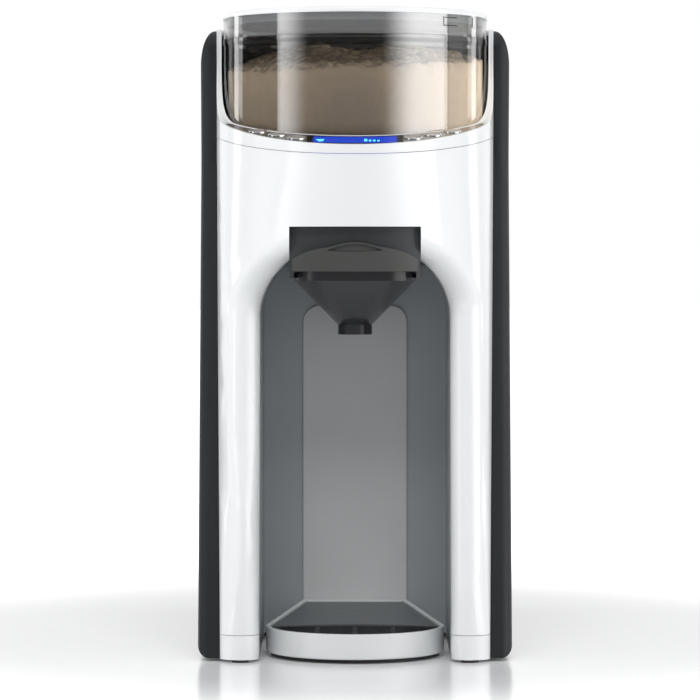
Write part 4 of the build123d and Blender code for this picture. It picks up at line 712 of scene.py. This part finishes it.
def add_prism(grid: BMesh, outline: Sequence[Vector], rise: Vector) -> None:
    """Add a closed prism.

    Args:
        grid: the mesh to add to.
        outline: corners of the base, in order.
        rise: from the base to the top.
    """
    low = [grid.verts.new(point) for point in outline]
    high = [grid.verts.new(point + rise) for point in outline]
    grid.faces.new(low)
    grid.faces.new(list(reversed(high)))
    add_bands(grid, (low, high))


def add_arc_bar(grid: BMesh, radii: tuple[float, float], span: tuple[float, float],
                heights: tuple[float, float], steps: int = 8) -> None:
    """Add a closed bar that bends around the powder container's axis.

    Args:
        grid: the mesh to add to.
        radii: inner and outer radius.
        span: first and last direction in degrees, right of the front.
        heights: lower and upper height.
        steps: pieces along the bend.
    """
    rings = []
    for i in range(steps + 1):
        turn = math.radians(span[0] + (span[1] - span[0]) * i / steps)
        rings.append([grid.verts.new((r * math.sin(turn), CUP_AXIS_Y - r * math.cos(turn), z))
                      for r, z in ((radii[0], heights[0]), (radii[1], heights[0]),
                                   (radii[1], heights[1]), (radii[0], heights[1]))])
    add_bands(grid, rings)
    grid.faces.new(rings[0])
    grid.faces.new(list(reversed(rings[-1])))


def add_turned(grid: BMesh, centre: Vector, axis: Vector, profile: Sequence[tuple[float, float]],
               steps: int = 48) -> None:
    """Add a closed turned shape.

    Args:
        grid: the mesh to add to.
        centre: where the profile's height is 0.
        axis: direction of the turning axis.
        profile: radius and height of each ring; the first and last radius are 0.
        steps: pieces once round.
    """
    across = axis.orthogonal().normalized()
    beside = axis.cross(across)
    rings = []
    for r, height in profile:
        middle = centre + axis * height
        if r == 0.0:
            rings.append([grid.verts.new(middle)] * steps)
        else:
            rings.append([grid.verts.new(middle + across * (r * math.cos(t)) + beside * (r * math.sin(t)))
                          for t in turns(steps)])
    add_bands(grid, rings)


@dataclass(frozen=True)
class BarRow:
    """A straight row of equal small bars, laid out with Geometry Nodes.

    Attributes:
        name: the row's name.
        start: centre of the first bar.
        step: from one bar to the next.
        size: size of a bar.
        count: number of bars.
    """

    name: str
    start: tuple[float, float, float]
    step: tuple[float, float, float]
    size: tuple[float, float, float]
    count: int

    def tree(self, material: Material) -> tuple[NodeTree, dict[str, str]]:
        """Build the node tree.

        Args:
            material: the surface of the bars.

        Returns:
            The tree and the identifier of each named input.
        """
        tree = bpy.data.node_groups.new(self.name, "GeometryNodeTree")
        kinds = {"Count": "NodeSocketInt", "Start": "NodeSocketVector", "Step": "NodeSocketVector",
                 "Size": "NodeSocketVector"}
        keys = {label: tree.interface.new_socket(name=label, in_out="INPUT", socket_type=kind).identifier
                for label, kind in kinds.items()}
        tree.interface.new_socket(name="Geometry", in_out="OUTPUT", socket_type="NodeSocketGeometry")
        given, line, bar, spread, real, paint, result = (tree.nodes.new(kind) for kind in (
            "NodeGroupInput", "GeometryNodeMeshLine", "GeometryNodeMeshCube", "GeometryNodeInstanceOnPoints",
            "GeometryNodeRealizeInstances", "GeometryNodeSetMaterial", "NodeGroupOutput"))
        paint.inputs["Material"].default_value = material
        for source, target in (
                (given.outputs["Count"], line.inputs["Count"]),
                (given.outputs["Step"], line.inputs["Offset"]),
                (given.outputs["Start"], line.inputs["Start Location"]),
                (given.outputs["Size"], bar.inputs["Size"]),
                (line.outputs[0], spread.inputs["Points"]), (bar.outputs["Mesh"], spread.inputs["Instance"]),
                (spread.outputs[0], real.inputs[0]), (real.outputs[0], paint.inputs["Geometry"]),
                (paint.outputs[0], result.inputs[0])):
            tree.links.new(source, target)
        return tree, keys

    def make(self, material: Material) -> Object:
        """Lay out the row and return it as a plain mesh object.

        Args:
            material: the surface of the bars.

        Returns:
            The row.
        """
        host = show(self.name + "_host", bpy.data.meshes.new(self.name + "_host"))
        tree, keys = self.tree(material)
        layout = host.modifiers.new("layout", "NODES")
        layout.node_group = tree
        given = {"Count": self.count, "Start": self.start, "Step": self.step, "Size": self.size}
        for label, value in given.items():
            layout[keys[label]] = value
        solved = host.evaluated_get(bpy.context.evaluated_depsgraph_get())
        mesh = bpy.data.meshes.new_from_object(solved)
        mesh.name = self.name
        row = show(self.name, mesh)
        bpy.data.objects.remove(host)
        return row


@dataclass
class PanelSlope:
    """The sloped control surface at the front of the machine.

    Attributes:
        front_y: where the surface starts.
        front_z: its height there.
        rise: height gained per length towards the back.
    """

    front_y: float = -0.156
    front_z: float = 0.2703
    rise: float = 0.198

    def point(self, x: float, y: float, lift: float = 0.0) -> Vector:
        """Return a point on the surface, lifted square to it."""
        normal = self.normal()
        return Vector((x, y, self.front_z + self.rise * (y - self.front_y))) + normal * lift

    def normal(self) -> Vector:
        """Return the surface's upward normal."""
        return Vector((0.0, -self.rise, 1.0)).normalized()


# ------------------------------------------------------------------ sub-assemblies
@dataclass
class Assembly:
    """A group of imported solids.

    Attributes:
        finishes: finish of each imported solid.
    """

    finishes: dict[str, str]

    def dress(self, shop: FinishShop) -> None:
        """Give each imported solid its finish.

        Args:
            shop: hands out the materials.
        """
        for node, finish in self.finishes.items():
            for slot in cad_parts[node].material_slots:
                slot.material = shop.get(finish)
            LOG.info("solid %s has finish %s", node, finish)


@dataclass
class Casework(Assembly):
    """The casing, its inner frame and everything fixed to it."""

    finishes: dict[str, str] = field(default_factory=lambda: {
        "front_shell": "white_gloss", "foot_caps": "white_gloss", "top_bezel": "white_gloss",
        "rear_cover": "charcoal_rear", "base_plate": "base_black", "rubber_feet": "foot_rubber",
        "pan_screws": "screw_steel", "side_panel_left": "charcoal_satin",
        "side_panel_right": "charcoal_satin", "chassis": "frame_plastic", "main_board": "board_green",
        "power_supply": "board_green", "power_rocker_frame": "switch_black", "power_rocker": "switch_black",
        "power_inlet": "switch_black", "bay_liner": "liner_grey", "bay_back_panel": "panel_grey",
        "dispenser_dock": "dock_dark", "drive_motor": "motor_steel", "motor_pinion": "gear_brass",
        # the container well gets painted shade inside its bore
        "container_well": "well_dark", "drive_gear": "gear_white", "drive_coupler": "coupler_grey",
        "shaft_bushings": "bush_bronze", "powder_chute": "frame_plastic", "inlet_spigot": "valve_grey",
        "water_pump": "pump_black", "water_heater": "motor_steel", "water_tubes": "tube_silicone",
        "water_nozzle": "valve_grey", "control_board": "board_green",
    })


@dataclass
class ControlPanel(Assembly):
    """Crescent key panel: silver plate, keys and lit window.

    Attributes:
        slope: the panel's surface.
        mark_lift: height of the lit marks over the panel.
        mark_thick: thickness of a lit mark.
        round_steps: corners of a round mark.
        key_spots: name and place of each key on the right.
        key_profile: radius and height of a key's rings, in millimetres.
    """

    finishes: dict[str, str] = field(default_factory=lambda: {
        "control_panel": "panel_silver", "display_lens": "screen_gloss", "display_module": "screen_lit",
    })
    slope: PanelSlope = field(default_factory=PanelSlope)
    mark_lift: float = 0.00011
    mark_thick: float = 0.00012
    round_steps: int = 20
    key_spots: tuple[tuple[str, float, float], ...] = (
        ("inner", 0.0306, -0.1360), ("middle", 0.0410, -0.1260), ("outer", 0.0515, -0.1155))
    key_profile: tuple[tuple[float, float], ...] = (
        (0.0, -2.6), (5.4, -2.6), (5.4, -1.8), (4.9, -1.8), (4.9, 0.30), (4.84, 0.52), (4.66, 0.66),
        (4.40, 0.70), (4.16, 0.66), (3.9, 0.54), (3.4, 0.36), (2.6, 0.20), (1.4, 0.11), (0.0, 0.09))

    def keys(self, shop: FinishShop) -> None:
        """Make the six dished keys with their round rims and retaining flanges.

        Args:
            shop: hands out the materials.
        """
        profile = [(r * MM, h * MM) for r, h in self.key_profile]
        for name, x, y in self.key_spots:
            for side, sign in (("left", -1), ("right", 1)):
                centre = self.slope.point(sign * x, y)
                key = mesh_object(f"key_{side}_{name}",
                                  lambda grid: add_turned(grid, centre, self.slope.normal(), profile),
                                  shop.get("key_silver"))
                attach(key, f"button_{side}_{name}_body")
                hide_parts(f"button_{side}_{name}")
                LOG.info("key %s is in place", key.name)

    def bar(self, grid: BMesh, x: float, y: float, width: float, depth: float) -> None:
        """Add one flat bar of a mark, its size given in millimetres.

        Args:
            grid: the mesh to add to.
            x: its middle, to the right.
            y: its middle, towards the back.
            width: its size across.
            depth: its size towards the back.
        """
        corners = ((-1, -1), (1, -1), (1, 1), (-1, 1))
        outline = [self.slope.point((x + i * width / 2) * MM, (y + j * depth / 2) * MM, self.mark_lift)
                   for i, j in corners]
        add_prism(grid, outline, self.slope.normal() * self.mark_thick)

    def drop(self, grid: BMesh, x: float, y: float, r: float) -> None:
        """Add a round mark, its size given in millimetres.

        Args:
            grid: the mesh to add to.
            x: its middle, to the right.
            y: its middle, towards the back.
            r: its radius.
        """
        outline = [self.slope.point((x + r * math.cos(t)) * MM, (y + r * math.sin(t)) * MM, self.mark_lift)
                   for t in turns(self.round_steps)]
        add_prism(grid, outline, self.slope.normal() * self.mark_thick)

    def marks(self, shop: FinishShop) -> None:
        """Make the lit marks: a level symbol on the left and bars in the middle.

        Args:
            shop: hands out the materials.
        """

        def build(grid: BMesh) -> None:
            """Fill the mesh of the marks.

            Args:
                grid: the mesh to add to.
            """
            self.drop(grid, -18.0, -145.5, 1.5)
            self.bar(grid, -18.2, -142.0, 4.2, 1.5)
            for i, (width, depth) in enumerate(((1.5, 6.5), (1.2, 4.0), (1.2, 4.0), (1.2, 3.0))):
                self.bar(grid, 5.6 + 2.2 * i, -147.0 + depth / 2, width, depth)

        marks = mesh_object("screen_marks", build, shop.get("mark_cyan"), smooth=False)
        place(marks, Body.CASE)


@dataclass
class PowderCup(Assembly):
    """Smoke container with lid, stirrer and the powder in it.

    Attributes:
        wall_r: outer radius of the powder against the wall.
        core_r: radius kept free around the stirrer post.
        arm_r: radius kept free for the stirrer arms.
        floor_z: underside of the powder at the wall.
        arm_top_z: underside of the powder over the arms.
        front_z: where the powder meets the wall in front.
        lean: how much higher it meets the wall on the right than in front.
        rear_rise: how much higher it meets the wall at the back.
        crown_z: mean height of the heap around the post.
        crown_waves: heights of the two slow waves around the heap.
        lump_height: height of the lumps on the surface.
        crumb_height: height of the crumbs on the surface.
        steps: corners once round the heap.
        rings: rings from the post to the wall.
        ring_r: outer radius of the lid's clear ring.
    """

    finishes: dict[str, str] = field(default_factory=lambda: {
        "powder_container": "cup_smoke", "powder_wheel": "wheel_white", "scraper_cover": "wheel_white",
        "stirrer": "stirrer_grey", "lid_skirt": "skirt_clear", "lid_top": "white_lid_gloss",
        "lid_seal": "seal_dark",
    })
    wall_r: float = 0.0694
    core_r: float = 0.0268
    arm_r: float = 0.0608
    floor_z: float = 0.2714
    arm_top_z: float = 0.2890
    front_z: float = 0.3113
    lean: float = 0.0030
    rear_rise: float = 0.0090
    crown_z: float = 0.3250
    crown_waves: tuple[float, float] = (0.0016, 0.0010)
    lump_height: float = 0.0016
    crumb_height: float = 0.0010
    steps: int = 300
    rings: int = 46
    ring_r: float = 0.0720

    def surface_z(self, r: float, turn: float) -> float:
        """Return the height of the powder's surface.

        Args:
            r: distance from the container's axis.
            turn: direction, with the front at -90 degrees.

        Returns:
            The height.
        """
        share = (r - self.core_r) / (self.wall_r - self.core_r)
        back = (1 + math.sin(turn)) / 2
        wall = self.front_z + self.rear_rise * back + self.lean * math.cos(turn)
        slow, quick = self.crown_waves
        crown = self.crown_z + slow * math.sin(2.0 * turn + 1.0) + quick * math.sin(5.0 * turn)
        base = crown + (wall - crown) * share ** 1.6
        spot = Vector((r * math.cos(turn), r * math.sin(turn), 0.0))
        lumps = noise.fractal(spot * 110.0, 0.9, 2.1, 4)
        crumbs = noise.fractal(spot * 420.0, 0.8, 2.2, 3)
        return base + self.lump_height * lumps + self.crumb_height * crumbs

    def powder(self, shop: FinishShop) -> Object:
        """Make the heap of powder, clear of the stirrer's sweep, and return it.

        Args:
            shop: hands out the materials.

        Returns:
            The heap.
        """

        def build(grid: BMesh) -> None:
            """Fill the mesh: top rings from the core to the wall, then the underside back to the core.

            Args:
                grid: the mesh to add to.
            """
            profile: list[list[BMVert]] = []
            for ring in range(self.rings + 1):
                r = self.core_r + (self.wall_r - self.core_r) * ring / self.rings
                profile.append([self.spot(grid, r, turn, self.surface_z(r, turn))
                                for turn in turns(self.steps)])
            below = [(self.wall_r, z) for z in (0.305, 0.295, 0.283, self.floor_z)]
            below += [(self.arm_r, self.floor_z), (self.arm_r, self.arm_top_z), (self.core_r, self.arm_top_z)]
            for r, z in below:
                profile.append([self.spot(grid, r, turn, z) for turn in turns(self.steps)])
            add_bands(grid, profile + profile[:1])

        heap = mesh_object("formula_powder", build, shop.get("milk_powder"))
        place(heap, Body.CUP)
        return heap

    def lid_marks(self, shop: FinishShop) -> None:
        """Make the generic lock outline and the closing tick on the lid's clear ring.

        Args:
            shop: hands out the materials.
        """
        skin = (self.ring_r - 0.00002, self.ring_r + 0.00010)
        bars = (((40.6, 48.9), (0.3389, 0.3393)), ((40.6, 48.9), (0.3347, 0.3351)),
                ((40.6, 40.95), (0.3351, 0.3389)), ((60.2, 61.0), (0.3346, 0.3400)))

        def build(grid: BMesh) -> None:
            """Fill the mesh of the marks."""
            for span, heights in bars:
                add_arc_bar(grid, skin, span, heights)

        marks = mesh_object("lid_marks", build, shop.get("mark_dark"), smooth=False)
        place(marks, Body.LID)

    def ribs(self, shop: FinishShop) -> None:
        """Make the upright ribs on the front of the stirrer's post.

        Args:
            shop: hands out the materials.
        """
        row = BarRow("stirrer_ribs", (-0.0240, -0.05675, 0.3150), (0.0020, 0.0, 0.0),
                     (0.0008, 0.0007, 0.0310), 5)
        place(row.make(shop.get("stirrer_grey")), Body.DOSING)

    def spot(self, grid: BMesh, r: float, turn: float, z: float) -> BMVert:
        """Add a vertex at a radius and direction around the container's axis."""
        return grid.verts.new((r * math.cos(turn), CUP_AXIS_Y + r * math.sin(turn), z))


@dataclass
class Funnel(Assembly):
    """Smoke mixing funnel with its handle."""

    finishes: dict[str, str] = field(default_factory=lambda: {
        "mixing_funnel": "funnel_smoke", "funnel_cover": "handle_grey",
    })


@dataclass
class DripTray(Assembly):
    """White tray with a grey ramp and a black ribbed grille."""

    finishes: dict[str, str] = field(default_factory=lambda: {
        "drip_tray": "white_tray_gloss", "tray_deck": "deck_grey", "tray_grille": "grille_black",
    })


@dataclass
class WaterTank(Assembly):
    """Smoke tank at the back with its flap, valve and float.

    Attributes:
        ticks: number of level ticks on each side.
    """

    finishes: dict[str, str] = field(default_factory=lambda: {
        "water_tank": "tank_smoke", "tank_lid": "charcoal_rear", "tank_hinge_pins": "bright_steel",
        "tank_float": "float_white", "valve_housing": "valve_grey", "valve_plunger": "valve_grey",
        "valve_seal": "seal_silicone", "valve_spring": "bright_steel",
    })
    ticks: int = 10

    def level_ticks(self, shop: FinishShop) -> None:
        """Make the plain level ticks on both sides of the tank.

        Args:
            shop: hands out the materials.
        """
        for side, sign in (("left", -1), ("right", 1)):
            row = BarRow(f"tank_ticks_{side}", (sign * 0.07455, 0.1080, 0.1600), (0.0, 0.0, 0.0150),
                         (0.0003, 0.0100, 0.0009), self.ticks)
            place(row.make(shop.get("mark_grey")), Body.TANK)


def turns(steps: int) -> Iterable[float]:
    """Yield evenly spaced directions once round."""
    return (i * math.tau / steps for i in range(steps))


def place(piece: Object, body: Body) -> None:
    """Hand a new piece to its body, and report it.

    Args:
        piece: the new piece.
        body: the group that it rides on.
    """
    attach(piece, body.value)
    LOG.info("piece %s rides on %s with %d faces", piece.name, body.value, len(piece.data.polygons))


# ------------------------------------------------------------------ studio
LAMP_AIM = Vector((0.0, -0.03, 0.17))


@dataclass(frozen=True)
class GlowPanel:
    """An upright lit panel that only gloss shows, as a range of directions around the machine.

    Attributes:
        low: direction of its left edge, degrees right of the camera's side.
        low_soft: degrees over which the left edge fades in.
        high: direction of its right edge.
        high_soft: degrees over which the right edge fades out.
        glow: brightness.
    """

    low: float
    low_soft: float
    high: float
    high_soft: float
    glow: float

    def shine(self, turn: Wire) -> Wire:
        """Return the panel's brightness in a direction, given in degrees.

        Args:
            turn: the direction.

        Returns:
            The brightness.
        """
        rise = turn.ramp(self.low, self.low + self.low_soft)
        fall = 1 - turn.ramp(self.high - self.high_soft, self.high)
        return rise * fall * self.glow


@dataclass
class Softbox:
    """A rectangular lamp that lights matt surfaces and that gloss doesn't show.

    Attributes:
        name: the lamp's name.
        turn: direction from the machine, degrees right of the camera's side.
        height: height of its centre.
        distance: distance from the machine's axis.
        width: size across.
        tall: size upright.
        radiance: brightness of its face.
    """

    name: str
    turn: float
    height: float
    distance: float
    width: float
    tall: float
    radiance: float

    def make(self) -> Object:
        """Hang the lamp and return its holder.

        Returns:
            The lamp's holder.
        """
        lamp = bpy.data.lights.new(self.name, "AREA")
        lamp.shape = "RECTANGLE"
        lamp.size = self.width
        lamp.size_y = self.tall
        lamp.energy = self.radiance * self.width * self.tall * math.pi
        holder = show(self.name, lamp)
        holder.visible_glossy = False
        angle = math.radians(self.turn)
        spot = Vector((math.sin(angle) * self.distance, -math.cos(angle) * self.distance, self.height))
        holder.location = spot
        aim = LAMP_AIM - spot
        holder.rotation_euler = aim.to_track_quat("-Z", "Y").to_euler()
        return holder


@dataclass
class Studio:
    """Floor, light and camera.

    Attributes:
        powder_lamp: the softbox that lights the powder alone.
        lamps: the other softboxes.
        panels: the lit panels that gloss shows.
        ambient: brightness of the surroundings for soft light.
        gap_glow: what gloss shows of the unlit side behind the camera.
        gap_end: where the unlit side starts to end and has ended, as the share of a direction that
            points to the back.
        above: from where to where the light above fades in, as the share that points up.
        above_glow: its brightness.
        below: the same for what gloss shows from below, as the share that points down.
        below_glow: its brightness.
        panel_top: where the lit panels' upper edge fades out, as the share that points up.
        camera_spot: the camera's place.
        aim: the point in the middle of the picture.
        lens: focal length in millimetres on a 36 mm sensor.
        floor_r: radius of the counter.
        floor_lift: how much whiter the counter looks to the camera than its light makes it.
        far_lift: the same for the plain counter far from the machine.
        plain: distances at which the counter starts to lose its gloss and has lost it.
    """

    powder_lamp: Softbox = field(default_factory=lambda: Softbox(
        "powder_fill", 98.0, 0.35, 1.2, 0.5, 0.6, 18.0))
    lamps: tuple[Softbox, ...] = (
        Softbox("right_fill", 94.0, 0.45, 1.8, 0.9, 0.9, 3.9),
        Softbox("left_fill", -94.0, 0.45, 1.8, 0.9, 0.9, 4.1),
        Softbox("front_fill", 0.0, 2.0, 1.7, 1.6, 0.9, 5.9),
    )
    panels: tuple[GlowPanel, ...] = (
        GlowPanel(-131.0, 2.0, -121.0, 2.0, 3.4), GlowPanel(-71.5, 1.5, -40.0, 29.0, 2.3),
        GlowPanel(22.0, 34.0, 88.0, 1.5, 3.2), GlowPanel(88.0, 1.5, 115.0, 2.0, 0.5),
        GlowPanel(121.0, 2.0, 132.0, 3.0, 3.4),
    )
    ambient: float = 0.43
    gap_glow: float = 0.02
    gap_end: tuple[float, float] = (0.60, 0.85)
    above: tuple[float, float] = (0.35, 0.75)
    above_glow: float = 0.9
    below: tuple[float, float] = (0.02, 0.10)
    below_glow: float = 0.8
    panel_top: tuple[float, float] = (0.36, 0.42)
    camera_spot: tuple[float, float, float] = (0.0, -2.006, 0.213)
    aim: tuple[float, float, float] = (-0.0026, -0.156, 0.1638)
    lens: float = 183.6
    floor_r: float = 12.0
    floor_lift: float = 0.05
    far_lift: float = 0.95
    plain: tuple[float, float] = (0.20, 0.46)

    def camera(self) -> None:
        """Set up the camera."""
        data = bpy.data.cameras.new("studio_camera")
        data.lens = self.lens
        data.sensor_width = 36.0
        data.clip_start = 0.05
        eye = show("studio_camera", data)
        eye.location = self.camera_spot
        eye.rotation_euler = (Vector(self.aim) - Vector(self.camera_spot)).to_track_quat("-Z", "Y").to_euler()
        bpy.context.scene.camera = eye

    def floor(self) -> None:
        """Lay the glossy white counter."""
        material = bpy.data.materials.new("counter_white")
        graph = Graph(material)
        tone = graph.mix(graph.noise(3.0, 2.0), grey_byte(243, 244, 245), grey_byte(248, 249, 250))
        gloss = graph.noise(40.0, 3.0) * 0.04 + 0.17
        seen = graph.add("ShaderNodeLightPath", None, None, "Is Camera Ray")
        lift = graph.mix(seen, BLACK, FULL_WHITE)
        near, far = (graph.principled({
            "Base Color": tone, "Roughness": rough, "IOR": index,
            "Emission Color": lift, "Emission Strength": glow,
        }) for rough, index, glow in ((gloss, 1.8, self.floor_lift), (0.9, 1.0, self.far_lift)))
        x, y, _ = graph.axes()
        away = (x * x + y * y).ramp(self.plain[0] ** 2, self.plain[1] ** 2)
        body = graph.node("ShaderNodeMixShader", None, {0: away})
        graph.tree.links.new(near.outputs[0], body.inputs[1])
        graph.tree.links.new(far.outputs[0], body.inputs[2])
        graph.surface(body)

        def build(grid: BMesh) -> None:
            """Fill the floor disc."""
            grid.faces.new([grid.verts.new((self.floor_r * math.cos(t), self.floor_r * math.sin(t), 0.0))
                            for t in turns(64)])

        mesh_object("counter", build, material, smooth=False)

    def surroundings(self) -> None:
        """Set the world: white where it is seen, a soft even light, and an unlit side for gloss."""
        world = bpy.data.worlds.new("studio")
        bpy.context.scene.world = world
        graph = Graph(world)
        path = graph.node("ShaderNodeLightPath")
        seen, mirrored, through = (Wire(graph, path.outputs[f"Is {kind} Ray"])
                                   for kind in ("Camera", "Glossy", "Transmission"))
        aim = graph.node("ShaderNodeTexCoord")
        split = graph.node("ShaderNodeSeparateXYZ", None, {0: Wire(graph, aim.outputs["Generated"])})
        x, y, z = (Wire(graph, output) for output in split.outputs)
        back = y.ramp(*self.gap_end)
        above = z.ramp(*self.above) * self.above_glow
        below = (z * -1.0).ramp(*self.below) * self.below_glow
        turn = graph.add("ShaderNodeMath", {"operation": "ARCTAN2"}, {0: x, 1: y * -1.0}) * math.degrees(1.0)
        level = 1 - z.ramp(*self.panel_top)
        gloss = back.at_least(above).at_least(below).at_least(self.gap_glow)
        for panel in self.panels:
            gloss = gloss.at_least(panel.shine(turn) * level)
        white = seen.at_least(through)
        soft = mirrored * (gloss - self.ambient) + self.ambient
        strength = white * (1.0 - soft) + soft
        sky = graph.node("ShaderNodeBackground", None, {"Color": FULL_WHITE, "Strength": strength})
        out = graph.node("ShaderNodeOutputWorld")
        graph.tree.links.new(sky.outputs[0], out.inputs["Surface"])

    def light_powder(self, heap: Object) -> None:
        """Hang the lamp that lights the powder alone, past the wall and the wings.

        Args:
            heap: the powder.
        """
        alone = bpy.data.collections.new("powder_only")
        alone.objects.link(heap)
        linking = self.powder_lamp.make().light_linking
        linking.receiver_collection = alone
        linking.blocker_collection = alone

    def build(self) -> None:
        """Set up the whole studio."""
        self.camera()
        self.floor()
        self.surroundings()
        for lamp in self.lamps:
            lamp.make()
        bpy.context.scene.view_settings.view_transform = "Standard"


def main() -> None:
    """Build the studio and every sub-assembly in order."""
    logging.basicConfig(level=logging.INFO, format="%(name)s: %(message)s")
    shop = FinishShop()
    studio = Studio()
    studio.build()
    Casework().dress(shop)
    panel = ControlPanel()
    panel.dress(shop)
    panel.keys(shop)
    panel.marks(shop)
    cup = PowderCup()
    cup.dress(shop)
    studio.light_powder(cup.powder(shop))
    cup.lid_marks(shop)
    cup.ribs(shop)
    Funnel().dress(shop)
    DripTray().dress(shop)
    tank = WaterTank()
    tank.dress(shop)
    tank.level_ticks(shop)


if __name__ == "__main__":
    main()
